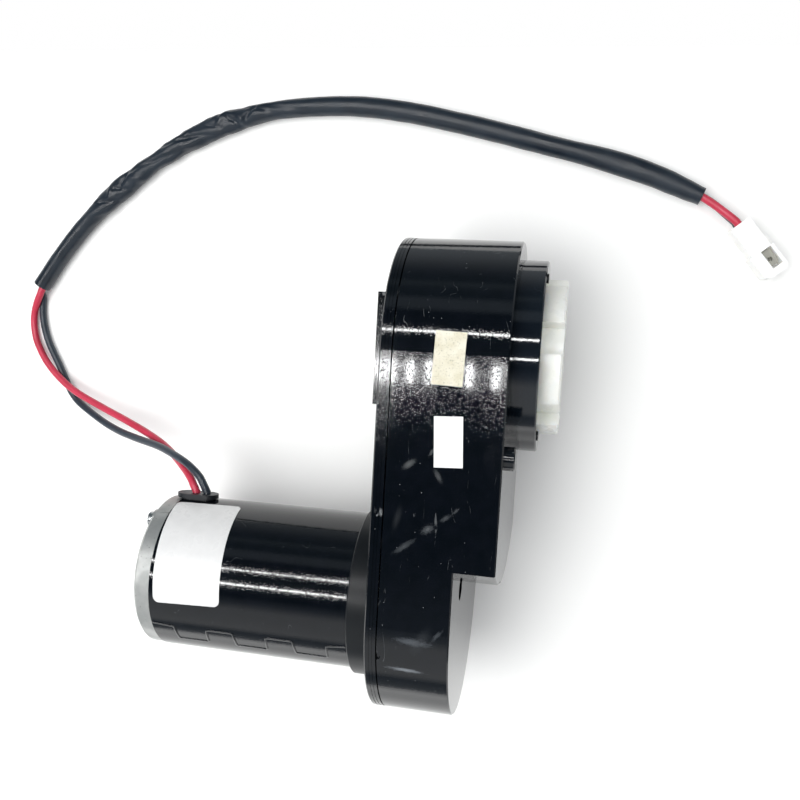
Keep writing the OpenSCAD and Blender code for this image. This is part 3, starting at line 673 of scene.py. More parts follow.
@dataclass(frozen=True)
class Stock(Finish):
    """Label stock: smooth or fibrous paper or film, soiled at random.

    Attributes:
        soil: Colour of the soiling.
        soil_mm: Width of a soiled spot.
        soil_share: How much of the surface is soiled.
    """

    soil: str = "#8a8468"
    soil_mm: float = 1.4
    soil_share: float = 0.4

    def paint(self, tree: Tree, shader: Node, place: Socket) -> None:
        """Links the plain finish and adds the soiling.

        Args:
            tree: The material's tree.
            shader: Its principled shader.
            place: Where on the object.
        """
        super().paint(tree, shader, place)
        spots = add(
            tree,
            "TexNoise",
            {"Vector": place, "Scale": per_metre(self.soil_mm), "Detail": 4.0, "Roughness": 0.75},
        )
        spot = add(
            tree,
            "MapRange",
            {
                "Value": spots.outputs["Fac"],
                "From Min": 0.55,
                "From Max": 0.75,
                "To Max": self.soil_share,
            },
        )
        self.overlay(tree, shader, spot.outputs["Result"], self.soil)


# Scuffs on the flank of the gear case, with grey dust of the rubbed skin in them.
FLANK_MARKS = (
    Mark((6.1, -72.3, 53.5), (3, 10, 6), -14, "#262a2e", 0.4, 0.4),
    Mark((9.7, -84.5, 53.5), (10, 2.4, 6), 39, "#3d4246", 0.65, 0.9),
    Mark((19.7, -76, 53.5), (5.4, 3.3, 6), 36, "#43484c", 0.7, 0.9),
    Mark((27.1, -70.5, 53.5), (4.8, 2.1, 6), 38, "#373c40", 0.65, 0.9),
    Mark((31.4, -66.9, 53.5), (3.6, 1.3, 6), 48, "#30353a", 0.6, 0.9),
    Mark((16.1, -126.5, 52), (14, 3, 8), -3, "#6a7076", 0.5, 0.5),
    Mark((13, -140.5, 50), (13, 1.7, 8), -2, "#8a9096", 0.7, 0.5),
    Mark((26.5, -122.3, 50), (6.5, 1.6, 12), 50, "#565b60", 0.6, 0.5),
    Mark((10, -48.3, 53.5), (2.6, 6, 6), -52, "#55595a", 0.55, 0.5),
    Mark((22.8, -52.4, 53.5), (2.2, 6, 6), 30, "#4a4e50", 0.5, 0.5),
    Mark((19.4, -125.7, 53.5), (5, 12, 9), -30, "#2c3034", 0.5, 0.6),
    Mark((19.6, -42.3, 53.5), (4, 1.6, 6), 60, "#45494b", 0.5, 0.5),
)
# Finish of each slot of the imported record. The comments say what the making gives the eye.
SLOT_FINISHES: dict[str, Finish] = {
    # Polished mould: lamps stand in it as sharp lines, and dust and scuffs show grey.
    "case_plastic": GlossMoulding(
        "moulded_gloss_black_nylon_case", "#060a0f", "#090d13", 0.05,
        dust=0.25, scratch=0.35, grease=0.4, pit_um=9, wave_um=14, marks=FLANK_MARKS,
    ),
    # The same resin, handled more; the end round the motor is eroded and looks matt.
    "cover_plastic": GlossMoulding(
        "moulded_gloss_black_nylon_cover", "#060a0f", "#090d13", 0.07,
        dust=0.35, scratch=0.6, grease=0.4, pit_um=12, wave_um=24, matt_end=(-6.3, -75),
    ),
    # Turned and kept clean: the sharpest mirror of the part.
    "flange_plastic": GlossMoulding(
        "turned_gloss_black_acetal_flange", "#0e141b", "#11171e", 0.06,
        dust=0.08, scratch=0.1, grease=0.2, pit_um=3, wave_um=15,
    ),
    # Thick paint with a fine orange peel, which breaks the lamp lines into grains.
    "can_paint": GlossMoulding(
        "gloss_black_powder_coat", "#05090e", "#080c12", 0.08,
        dust=0.06, scratch=0.2, grease=0.3, pit_um=14, wave_um=16,
    ),
    # Oiled black oxide: dark, with a dull metal sheen.
    "black_screw": Finish("black_oxide_steel", "#16171a", "#232427", 0.35, 0.7),
    # Unfilled nylon: milky white, with soft highlights and glowing edges.
    "driver_nylon": MilkyNylon(
        "natural_moulded_nylon", "#f3f4ee", "#eeefe8", 0.32, depth_mm=5.0, share=0.6,
    ),
    # Porous bearing metal: dull brown gold, dark with oil.
    "bronze": Finish("sintered_bronze", "#8b6a3c", "#775a34", 0.45, 1.0),
    # Zinc plate: pale and bright, with a soft mirror.
    "plated_steel": Finish("zinc_plated_steel", "#c3c6c6", "#a9adae", 0.28, 1.0),
    # Ground pins and shaft: grey, with a narrow satin highlight.
    "ground_steel": Finish("ground_steel", "#a9abac", "#909294", 0.25, 1.0),
    # Unfilled acetal: ivory white and waxy.
    "gear_acetal": Finish("moulded_natural_acetal", "#dcdacd", "#d3d0c1", 0.35),
    # Steam-treated sintered steel: dark grey and oily.
    "sintered_steel": Finish("oiled_sintered_steel", "#6f7072", "#58595b", 0.4, 1.0),
    # Pressed and fired magnets: charcoal and dead matt.
    "ferrite": Finish("sintered_ferrite", "#2b2c2e", "#363739", 0.7),
    # Tumbled casting: light grey with small dark pits and no sharp mirror.
    "cap_metal": CastMetal(
        "tumbled_zinc_casting", "#bcbdbb", "#aeb0ae", 0.5, 0.8, grain_mm=0.7, grain_um=25,
    ),
    # Stacked sheets under varnish: grey with a dull gloss.
    "lamination_steel": Finish("varnished_laminations", "#5f6163", "#4d4f51", 0.4, 0.9),
    # Enamel over copper: red brown and glossy.
    "copper_wire": Finish("enamelled_copper_wire", "#8d3f1d", "#7a3318", 0.25, 0.7),
    # Bare copper, run in by the brushes: bright orange brown.
    "copper_bar": Finish("drawn_copper", "#b3673c", "#9a5632", 0.3, 1.0),
    # Polished rings: the brightest metal, with a sharp mirror.
    "bearing_steel": Finish("polished_bearing_steel", "#b7b9ba", "#a2a5a6", 0.18, 1.0),
    # Pressed board: dark brown, with a faint gloss.
    "phenolic": Finish("paper_phenolic_board", "#4a3320", "#3d2a1b", 0.5),
    # Pressed graphite: black with a grey bloom.
    "carbon": Finish("pressed_graphite", "#1f1f20", "#2a2a2b", 0.55),
    # Moulded rubber: black, with a grainy satin skin.
    "grommet_rubber": Finish(
        "moulded_black_rubber", "#15181d", "#1d2025", 0.48, grain_mm=0.8, grain_um=12,
    ),
    # Soft vinyl: even colour and a broad satin highlight along the lead.
    "red_insulation": Finish("extruded_red_vinyl", "#c93650", "#be2c45", 0.4, mottle_mm=9),
    # The same vinyl in black, which shows as dark slate in the light.
    "black_insulation": Finish("extruded_black_vinyl", "#29313b", "#303944", 0.38),
    # Thin soft tube: blue black, with a satin highlight that its creases break.
    "sleeve_vinyl": Finish(
        "extruded_black_vinyl_sleeve", "#151e28", "#1b2631", 0.38,
        mottle_mm=14, rough_drift=0.09, grain_mm=1.6, grain_um=30,
    ),
    # Natural nylon: clean white, slightly milky.
    "plug_nylon": MilkyNylon(
        "white_moulded_nylon", "#fbfbf8", "#f7f7f3", 0.38, depth_mm=1.5, share=0.3,
    ),
    # Dipped tin: pale warm grey, softly bright.
    "tinned_blade": Finish("tinned_brass", "#b9b8ae", "#a6a59c", 0.35, 0.9),
}
# Smooth film with a faint gloss, a little grey where it is rubbed.
LABEL_FILM = Stock(
    "white_polyester_film", "#e6e6e5", "#e0e0df", 0.32,
    soil="#d9dadb", soil_mm=4.0, soil_share=0.2, grain_mm=1.2, grain_um=5,
)
# Creped paper gone cream with age: dull and speckled with dirt.
MASKING_PAPER = Stock(
    "aged_crepe_masking_paper", "#e6e2d0", "#d6d0b8", 0.7,
    soil="#7d7a68", soil_mm=0.8, soil_share=0.95, grain_mm=0.8, grain_um=40,
)
# Plain paper: flat white with small yellow spots.
WHITE_PAPER = Stock(
    "white_label_paper", "#f2f2f1", "#eeeeec", 0.6,
    soil="#cfcb9c", soil_mm=2.2, soil_share=0.25, grain_mm=0.5, grain_um=8,
)


def in_finish(piece: Piece, finish: Material) -> None:
    """Gives a new piece its one material."""
    piece.data.materials.clear()
    piece.data.materials.append(finish)


# ---------- camera, light and floor ----------


class Shown(Enum):
    """Which rays a lamp is for."""

    GLOSS = "gloss"
    MATT = "matt"


@dataclass
class Lamp:
    """A flat lamp: a bright narrow one that gloss mirrors, or a soft one that lights the scene.

    Attributes:
        name: Its name.
        centre: Middle of the panel, in metres.
        size: Its length along X and its width, in metres.
        radiance: How bright its face is, against 1 for white paper in full light.
        shown: What it is seen by.
        aim: What a matt lamp faces.
    """

    name: str
    centre: Point
    size: tuple[float, float]
    radiance: float
    shown: Shown = Shown.GLOSS
    aim: Point = (-0.05, 0.0, 0.0)

    def hang(self) -> Piece:
        """Makes the lamp: a gloss one faces straight down, and a matt one faces the part.

        Returns:
            The lamp.
        """
        data = bpy.data.lights.new(self.name, "AREA")
        data.shape = "RECTANGLE"
        data.size, data.size_y = self.size
        data.energy = self.radiance * math.pi * self.size[0] * self.size[1]
        lamp = bpy.data.objects.new(self.name, data)
        lamp.location = self.centre
        toward = Vector(self.aim) - Vector(self.centre)
        if self.shown is Shown.GLOSS:
            toward = Vector((0.0, 0.0, -1.0))
        lamp.rotation_euler = toward.to_track_quat("-Z", "Y").to_euler()
        lamp.visible_glossy = self.shown is Shown.GLOSS
        lamp.visible_diffuse = self.shown is Shown.MATT
        lamp.visible_transmission = False
        bpy.context.collection.objects.link(lamp)
        log.info("%s for %s, radiance %.1f", self.name, self.shown.value, self.radiance)
        return lamp


# Bars between the two halves of the near lamp: X of the middle, length along X and radiance.
NEAR_BARS = (
    (-0.317, 0.005, 160.0), (-0.298, 0.005, 160.0),
    (-0.283, 0.005, 160.0), (-0.266, 0.005, 160.0),
    (-0.2324, 0.009, 100.0), (-0.1937, 0.009, 100.0),
    (-0.116, 0.009, 100.0), (-0.0643, 0.009, 100.0),
)


@dataclass
class Studio:
    """Camera above the part, a pale floor, ceiling lamps, a window and a dim room.

    Attributes:
        eye: Camera's place, in metres.
        tilt: Camera's angles about X, Y and Z, in degrees.
        lens: Focal length on a 36 mm sensor.
        floor_z: Height of the floor, just under the part.
        floor_size: Side of the floor.
        floor_far: Its edge beyond the cord; the room past it is what the round end mirrors.
        floor_lift: White that the camera, gloss and glass see added to the floor by the part.
        floor_white: Distances between which that rises to full white.
        lamps: The lamps.
        walls: What gloss sees of the room, as colours at angles from +Y over the top to -Y.
    """

    eye: Point = (0.07532847, 0.00839651, 0.41464370)
    tilt: Point = (-3.925206, 11.349715, 3.312870)
    lens: float = 38.756
    floor_z: float = -0.0536
    floor_size: float = 12.0
    floor_far: float = 0.16
    floor_lift: float = 0.12
    floor_white: tuple[float, float] = (0.4, 0.9)
    lamps: tuple[Lamp, ...] = (
        Lamp("lamp_far", (-0.35, 0.465, 1.34), (1.3, 0.05), 40.0),
        Lamp("lamp_near_left", (-0.64, -0.07, 1.34), (0.62, 0.05), 40.0),
        *(
            Lamp(f"lamp_near_bar_{i}", (x, -0.069, 1.34), (length, 0.045), radiance)
            for i, (x, length, radiance) in enumerate(NEAR_BARS, 1)
        ),
        Lamp("lamp_near_right", (0.11, -0.07, 1.34), (0.28, 0.05), 40.0),
        Lamp("ceiling", (-0.25, 0.3, 1.5), (1.8, 1.0), 2.1, Shown.MATT),
        Lamp("window", (-0.65, -0.4, 1.5), (1.4, 1.2), 3.4, Shown.MATT),
    )
    walls: tuple[tuple[float, str], ...] = (
        (-45, "#a6adb3"), (-22, "#adb4ba"), (-14, "#a2a9af"), (-6, "#8a9197"), (2, "#69717a"),
        (9, "#525c64"), (14, "#4d5860"), (19, "#78848a"), (25, "#535e66"), (33, "#46525a"),
        (38, "#8e98a0"), (46, "#8e98a0"), (51, "#262c34"), (72, "#2c323a"), (86, "#434b53"),
        (98, "#2a3038"), (105, "#20262e"), (115, "#858d95"), (126, "#f0f2f3"), (158, "#f0f2f3"),
        (166, "#7a828a"), (176, "#9aa0a6"), (180, "#c4c8cc"),
    )

    def camera(self) -> Piece:
        """Makes the scene's camera.

        Returns:
            The camera.
        """
        data = bpy.data.cameras.new("camera")
        data.lens = self.lens
        data.sensor_width = 36.0
        data.clip_start, data.clip_end = 0.01, 100.0
        camera = bpy.data.objects.new("camera", data)
        camera.location = self.eye
        camera.rotation_euler = [math.radians(a) for a in self.tilt]
        bpy.context.collection.objects.link(camera)
        bpy.context.scene.camera = camera
        log.info("camera at %s", self.eye)
        return camera

    def paper(self) -> Material:
        """Makes the floor's finish, matt white paper.

        What the camera, gloss and glass see of it is lifted a little, so that the lit floor is
        white and a shadow is a soft grey. Away from the lamps it is lifted to white.

        Returns:
            The material.
        """
        made = bpy.data.materials.new("matt_white_paper")
        made.use_nodes = True
        tree = made.node_tree
        shader = tree.nodes["Principled BSDF"]
        shader.inputs["Base Color"].default_value = linear("#f4f4f2")
        shader.inputs["Roughness"].default_value = 0.9
        shader.inputs["Specular IOR Level"].default_value = 0.0
        path = add(tree, "LightPath")
        seen = add(
            tree,
            "Math",
            {0: path.outputs["Is Camera Ray"], 1: path.outputs["Is Glossy Ray"]},
            operation="MAXIMUM",
        )
        through = add(
            tree,
            "Math",
            {0: seen.outputs[0], 1: path.outputs["Is Transmission Ray"]},
            operation="MAXIMUM",
        )
        away = add(
            tree, "VectorMath", {0: add(tree, "TexCoord").outputs["Object"]}, operation="LENGTH"
        )
        share = add(
            tree,
            "MapRange",
            {
                "Value": away.outputs["Value"],
                "From Min": self.floor_white[0],
                "From Max": self.floor_white[1],
                "To Min": self.floor_lift,
                "To Max": 1.0,
            },
        )
        lift = add(
            tree, "Math", {0: through.outputs[0], 1: share.outputs["Result"]}, operation="MULTIPLY"
        )
        shader.inputs["Emission Color"].default_value = (1.0, 1.0, 1.0, 1.0)
        tree.links.new(lift.outputs[0], shader.inputs["Emission Strength"])
        return made

    def floor(self) -> Piece:
        """Makes the pale floor, which shows white where no shadow falls.

        Returns:
            The floor, staged.
        """
        deselect()
        bpy.ops.mesh.primitive_plane_add(
            size=self.floor_size, location=(0.0, self.floor_far - self.floor_size / 2, self.floor_z)
        )
        floor = finish_piece(bpy.context.object, "floor")
        in_finish(floor, self.paper())
        log.info("floor at z %.4f", self.floor_z)
        return floor

    def world(self) -> None:
        """Makes the room: white to the camera, grey as fill, and walls as gloss sees them."""
        world = bpy.data.worlds.new("room")
        bpy.context.scene.world = world
        world.use_nodes = True
        tree = world.node_tree
        shader = tree.nodes["Background"]
        path = add(tree, "LightPath")
        toward = add(tree, "SeparateXYZ", {0: add(tree, "TexCoord").outputs["Generated"]})
        angle = add(
            tree, "Math", {0: toward.outputs["Z"], 1: toward.outputs["Y"]}, operation="ARCTAN2"
        )
        # The ramp runs over the top, from first_wall below +Y to -Y.
        first_wall = self.walls[0][0]
        turn = 180 - first_wall
        share = add(
            tree,
            "Math",
            {0: angle.outputs[0], 1: 180 / math.pi / turn, 2: -first_wall / turn},
            operation="MULTIPLY_ADD",
            use_clamp=True,
        )
        room = add(tree, "ValToRGB", {0: share.outputs[0]})
        stops = room.color_ramp.elements
        while len(stops) < len(self.walls):
            stops.new(0.5)
        for stop, (degrees, colour) in zip(stops, self.walls):
            stop.position = (degrees - first_wall) / turn
            stop.color = linear(colour)
        fill = add(
            tree,
            "Mix",
            {0: path.outputs["Is Glossy Ray"], 6: linear("#b0b2b5"), 7: room.outputs["Color"]},
            data_type="RGBA",
        )
        direct = add(
            tree,
            "Math",
            {0: path.outputs["Is Camera Ray"], 1: path.outputs["Is Transmission Ray"]},
            operation="MAXIMUM",
        )
        shown = add(
            tree,
            "Mix",
            {0: direct.outputs[0], 6: fill.outputs[2], 7: (1.0, 1.0, 1.0, 1.0)},
            data_type="RGBA",
        )
        tree.links.new(shown.outputs[2], shader.inputs["Color"])

    def light(self) -> None:
        """Sets the light and how it is shown."""
        self.world()
        for lamp in self.lamps:
            lamp.hang()
        bpy.context.scene.view_settings.view_transform = "Standard"


# ---------- leads, sleeve and plug ----------


def rounded(points: Sequence[Point], step: float) -> list[Vector]:
    """Smooth line through points, as a flexible cord takes it.

    Args:
        points: Points in millimetres.
        step: Distance between the samples, in millimetres.

    Returns:
        Points along a Catmull-Rom line, in metres.
    """
    given = [Vector(p) for p in points]
    given = [2 * given[0] - given[1], *given, 2 * given[-1] - given[-2]]
    line: list[Vector] = []
    for a, b, c, d in zip(given, given[1:], given[2:], given[3:]):
        count = max(1, round((c - b).length / step))
        for i in range(count):
            t = i / count
            line.append(
                0.5
                * (
                    2 * b
                    + (c - a) * t
                    + (2 * a - 5 * b + 4 * c - d) * t**2
                    + (3 * b - a - 3 * c + d) * t**3
                )
            )
    line.append(given[-2])
    return [p * MM for p in line]


def length_of(line: Sequence[Vector]) -> float:
    """Length of a line of points."""
    return sum((b - a).length for a, b in zip(line, line[1:]))


@dataclass(frozen=True)
class Crease:
    """A fold in the sleeve, pressed in or standing out.

    Attributes:
        at: Distance of its middle from the first mouth, in millimetres.
        angle: Its middle round the sleeve, from the outer side towards the top, in radians.
        depth: How far it is pressed in; below 0 it stands out.
        width: Its half width, in millimetres.
        lean: Millimetres that it runs along the sleeve for each millimetre across.
        reach: How far it reaches round the sleeve, in millimetres.
    """

    at: float
    angle: float
    depth: float
    width: float
    lean: float
    reach: float = 4.2

    def press(self, along: float, angle: float, radius: float) -> float:
        """How far it moves the skin in at one place.

        Args:
            along: Distance from the first mouth, in millimetres.
            angle: Angle round the sleeve.
            radius: Radius of the sleeve there.

        Returns:
            Millimetres inwards.
        """
        across = (angle - self.angle) * radius
        off = (along - self.at - self.lean * across) / (self.width * math.hypot(1, self.lean))
        return self.depth * math.exp(-(off**2) - (across / self.reach) ** 2)


@dataclass
class Harness:
    """Two leads from the grommet through a vinyl sleeve to a two-pole plug.

    Attributes:
        lead_d: Diameter of a lead, in millimetres.
        sleeve_d: Diameter of the sleeve, in millimetres.
        sleeve_wall: Its wall, in millimetres.
        red_out: Red lead from the grommet to the sleeve, in millimetres.
        black_out: Black lead from the grommet to the sleeve.
        sleeve: Middle of the sleeve.
        red_end: Red lead from the sleeve to the plug.
        black_end: Black lead from the sleeve to the plug.
        turns: Angle from the black lead up to the red one at each point of the sleeve.
        breadths: Breadth of the sleeve at distances from its first mouth.
        creases: Folds where the sleeve is crumpled.
        lead_offset: Distance of each lead from the sleeve's middle line.
        mouth_shift: How far both leads lie from that line at the first mouth.
        mouth_run: Points of the sleeve over which that shift fades.
        lead_step: Distance between the points of a lead.
        sleeve_step: Distance between the rings of the sleeve.
        sides: Points of a ring.
        height_share: What the height loses of a gain in breadth, and gains of a loss.
        rumpled: Middle and half length of the rumpled stretch.
        calm_end: Length of each mouth over which the rumples fade.
        crease_run: Distance along the sleeve past which a crease is not felt.
        underside: Height of the sleeve's flattened underside over its lowest line.
        middle: Middle line of the sleeve, in metres, once it is made.
        total: Length of that line, in millimetres.
    """

    lead_d: float = 4.0
    sleeve_d: float = 10.5
    sleeve_wall: float = 0.7
    red_out: tuple[Point, ...] = (
        (-111, -88, 0), (-111, -84.5, 0), (-111, -81, 0), (-111.9, -79.1, 0),
        (-113.4, -77.1, -0.6), (-115.7, -74.6, -2.5), (-123.9, -69.8, -9.6),
        (-138.3, -63.5, -21.8), (-152.3, -58.4, -30), (-170.3, -52.5, -37), (-191.2, -45.6, -42.5),
        (-209.2, -38.5, -45.5), (-221.1, -31.3, -47.2), (-231.8, -21.7, -49),
        (-239.3, -11.2, -50.9), (-241.7, -4.2, -51.4), (-242.4, 0.8, -51.4),
        (-242, 5.2, -50.8), (-240.4, 9.6, -49.4), (-237.9, 14.1, -47.6), (-235.5, 18.4, -46.6),
    )
    black_out: tuple[Point, ...] = (
        (-105, -88, 0), (-105, -84.5, 0), (-105, -81.5, 0), (-105.4, -80.3, 0),
        (-107.6, -76.4, -0.1), (-109.8, -73.2, -0.6), (-113.6, -70.2, -1.8), (-119, -67.2, -4),
        (-127.3, -64.7, -8.7), (-142.2, -61.8, -18.3), (-160.2, -60.3, -28.8),
        (-176, -58.2, -37.1), (-189.5, -54.7, -43.4), (-201.9, -49.6, -48.1), (-210.3, -45, -50.3),
        (-214.7, -41.2, -51.2), (-218.3, -36.1, -51.5), (-225.1, -23.3, -51.4),
        (-232.2, -10.4, -51.5), (-235.7, 0, -51.5), (-236.8, 8.6, -51.5), (-236.5, 15.6, -51.3),
    )
    sleeve: tuple[Point, ...] = (
        (-235.5, 23.1, -48.25), (-222.3, 42.2, -48.25), (-206, 62, -48.25), (-187, 80, -48.25),
        (-166, 96, -48.25), (-143, 110, -48.25), (-120, 119.5, -48.25), (-96, 125.5, -48.25),
        (-70, 128, -48.25), (-44, 128, -48.25), (-18, 125, -48.25), (8, 120, -48.25),
        (33, 114.5, -48.25), (58, 108.5, -48.25), (83.2, 102.6, -48.25), (108.3, 95.1, -48.25),
        (133.7, 84.7, -48.25),
    )
    red_end: tuple[Point, ...] = (
        (148.4, 73.8, -43.6), (151.2, 71.2, -43.5), (154.37, 67.74, -43.5),
    )
    black_end: tuple[Point, ...] = (
        (148.8, 74.3, -49.5), (151.5, 71.6, -49.5), (154.37, 67.74, -49.5),
    )
    turns: tuple[float, ...] = (130, 105, 60, 10, 25, 5, 5, 40, 60, 50, 30, 20, 25, 40, 30, 50, 102)
    breadths: tuple[tuple[float, float], ...] = (
        (0, 9.4), (25, 8.9), (50, 9.4), (66, 11.6), (78, 12.9), (88, 11.2), (101, 9.3),
        (116, 10.8), (130, 12.0), (150, 13.0), (162, 11.0), (178, 9.6), (204, 10.2),
        (240, 10.8), (300, 10.8), (340, 10.4), (372, 11.9), (394, 11.3), (405, 10.2), (413, 8.9),
    )
    creases: tuple[Crease, ...] = (
        Crease(58, 2.1, -0.9, 2.6, 1.1), Crease(66, 1.9, 1.2, 1.1, 1.2),
        Crease(71, 1.2, -0.8, 1.6, -0.8), Crease(77, 1.8, 1.0, 1.0, 0.9),
        Crease(82, 1.1, 1.1, 1.3, -1.3), Crease(88, 2.0, -0.8, 1.5, 1.0),
        Crease(97, 1.5, 0.9, 1.8, 2.6), Crease(108, 1.9, 0.7, 1.4, 3.2),
        Crease(122, 1.3, 0.8, 1.4, 3.0), Crease(133, 1.9, 0.6, 1.1, 2.4),
        Crease(142, 1.4, 0.8, 1.2, 1.4), Crease(149, 1.0, -0.9, 1.5, -0.9),
        Crease(155, 1.7, 1.1, 0.9, 0.7), Crease(160, 1.9, -1.0, 1.5, 0.4),
        Crease(165, 1.5, 1.3, 1.0, -0.9), Crease(171, 1.2, 0.7, 1.3, 1.8),
        Crease(186, 1.6, 0.5, 1.8, 3.4),
    )
    lead_offset: float = 2.15
    mouth_shift: float = 0.6
    mouth_run: int = 3
    lead_step: float = 2.0
    sleeve_step: float = 0.9
    sides: int = 48
    height_share: tuple[float, float] = (0.6, 0.2)
    rumpled: tuple[float, float] = (112.0, 62.0)
    calm_end: float = 12.0
    crease_run: float = 22.0
    underside: float = 0.1
    middle: list[Vector] = field(init=False, default_factory=list)
    total: float = field(init=False, default=0.0)

    def inside(self, side: int) -> list[Point]:
        """Line of one lead in the sleeve: above the other where it is narrow, else beside it.

        Args:
            side: 1 for the red lead, -1 for the black one.

        Returns:
            Points in millimetres, from one mouth to the other.
        """
        line = []
        last = len(self.sleeve) - 1
        for i, point in enumerate(self.sleeve):
            before = Vector(self.sleeve[max(i - 1, 0)])
            after = Vector(self.sleeve[min(i + 1, last)])
            along = (after - before).normalized()
            across = UP.cross(along)
            turn = math.radians(self.turns[i])
            place = Vector(point) + side * self.lead_offset * (
                math.cos(turn) * across + math.sin(turn) * UP
            )
            place -= self.mouth_shift * max(0.0, 1 - i / self.mouth_run) * across
            line.append(tuple(place))
        return line

    def lead(self, name: str, side: int, finish: Material) -> Piece:
        """Makes one lead from the grommet to the plug, as one round cord.

        Args:
            name: Name of the piece.
            side: 1 for the red lead, -1 for the black one.
            finish: Its insulation.

        Returns:
            The lead, a curve of one spline.
        """
        out, end = (self.red_out, self.red_end) if side > 0 else (self.black_out, self.black_end)
        line = rounded([*out, *self.inside(side), *end], self.lead_step)
        data = bpy.data.curves.new(name, "CURVE")
        data.dimensions = "3D"
        data.bevel_depth = self.lead_d / 2 * MM
        data.bevel_resolution = 4
        data.use_fill_caps = True
        spline = data.splines.new("POLY")
        spline.points.add(len(line) - 1)
        for place, point in zip(spline.points, line):
            place.co = (*point, 1.0)
        spline.use_smooth = True
        lead = bpy.data.objects.new(name, data)
        bpy.context.collection.objects.link(lead)
        in_finish(lead, finish)
        log.info("%s, %.0f mm long", name, length_of(line) / MM)
        return lead

    def skin(self, along: float, angle: float) -> float:
        """Radius of the sleeve, which is soft and creased by its bends.

        Args:
            along: Distance from its first mouth, in millimetres.
            angle: Angle round it, from its outer side towards the top.

        Returns:
            Radius in millimetres.
        """
        breadth = self.breadths[-1][1]
        for (start, here), (end, there) in zip(self.breadths, self.breadths[1:]):
            if start <= along < end:
                t = (along - start) / (end - start)
                breadth = here + (there - here) * t * t * (3 - 2 * t)
                break
        flat = (breadth - self.sleeve_d) / 2
        lost, gained = self.height_share
        radius = self.sleeve_d / 2 + flat * math.cos(angle) ** 2
        radius -= (lost if flat > 0 else gained) * flat * math.sin(angle) ** 2
        # Broad rumples, about 9 mm along the sleeve, and finer ones of about 4 mm. Both are faint
        # but for the rumpled stretch, and none at the mouths.
        middle, half = self.rumpled
        rumpled = math.exp(-(((along - middle) / half) ** 4))
        ease = min(1.0, along / self.calm_end, (self.total - along) / self.calm_end)
        around = Vector((math.cos(angle), math.sin(angle), 0)) * 1.1
        broad = noise.noise(around + Vector((0, 0, along / 9)))
        fine = noise.noise(around * 2 + Vector((5, 3, along / 4)))
        radius += ease * (0.12 + 0.5 * rumpled) * broad
        radius += ease * (0.04 + 0.25 * rumpled) * fine
        for crease in self.creases:
            if abs(along - crease.at) < self.crease_run:
                radius -= crease.press(along, angle, self.sleeve_d / 2)
        return radius

    def tube(self, finish: Material) -> Piece:
        """Makes the sleeve, an open vinyl tube that lies on the ground.

        Args:
            finish: Its vinyl.

        Returns:
            The sleeve.
        """
        line = rounded(self.sleeve, self.sleeve_step)
        self.middle = line
        self.total = length_of(line) / MM
        mesh = bmesh.new()
        rings: list[list[bmesh.types.BMVert]] = []
        walls: list[list[bmesh.types.BMVert]] = []
        travelled = 0.0
        last = len(line) - 1
        for i, centre in enumerate(line):
            if i:
                travelled += (centre - line[i - 1]).length / MM
            along = (line[min(i + 1, last)] - line[max(i - 1, 0)]).normalized()
            across = UP.cross(along)
            lowest = centre.z - (self.sleeve_d / 2 - self.underside) * MM
            outer, inner = [], []
            for k in range(self.sides):
                angle = 2 * math.pi * k / self.sides
                ray = math.cos(angle) * across + math.sin(angle) * UP
                radius = self.skin(min(travelled, self.total), angle)
                place = centre + ray * radius * MM
                place.z = max(place.z, lowest)
                outer.append(mesh.verts.new(place))
                inner.append(mesh.verts.new(place - ray * self.sleeve_wall * MM))
            rings.append(outer)
            walls.append(inner)
        for k in range(self.sides):
            n = (k + 1) % self.sides
            for a, b in zip(rings, rings[1:]):
                mesh.faces.new((a[k], a[n], b[n], b[k]))
            for a, b in zip(walls, walls[1:]):
                mesh.faces.new((b[k], b[n], a[n], a[k]))
            mesh.faces.new((rings[0][n], rings[0][k], walls[0][k], walls[0][n]))
            mesh.faces.new((rings[-1][k], rings[-1][n], walls[-1][n], walls[-1][k]))
        bmesh.ops.recalc_face_normals(mesh, faces=mesh.faces)
        data = bpy.data.meshes.new("sleeve")
        mesh.to_mesh(data)
        mesh.free()
        sleeve = bpy.data.objects.new("sleeve", data)
        bpy.context.collection.objects.link(sleeve)
        for face in data.polygons:
            face.use_smooth = True
        data.set_sharp_from_angle(angle=math.radians(50))
        in_finish(sleeve, finish)
        log.info("sleeve, %.0f mm long", self.total)
        return sleeve

    def build(self, finishes: dict[str, Material]) -> None:
        """Args:
            finishes: Materials by slot name.
        """
        red = self.lead("red_wire", 1, finishes["red_insulation"])
        black = self.lead("black_wire", -1, finishes["black_insulation"])
        sleeve = self.tube(finishes["sleeve_vinyl"])
        for piece, nodes, slot in (
            (red, ("red_lead", "red_tail"), "red_insulation"),
            (black, ("black_lead", "black_tail"), "black_insulation"),
            (sleeve, ("cable_sleeve",), "sleeve_vinyl"),
        ):
            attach(piece, "case")
            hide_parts(*nodes)


# ---------- paper and film on motor and gear case ----------


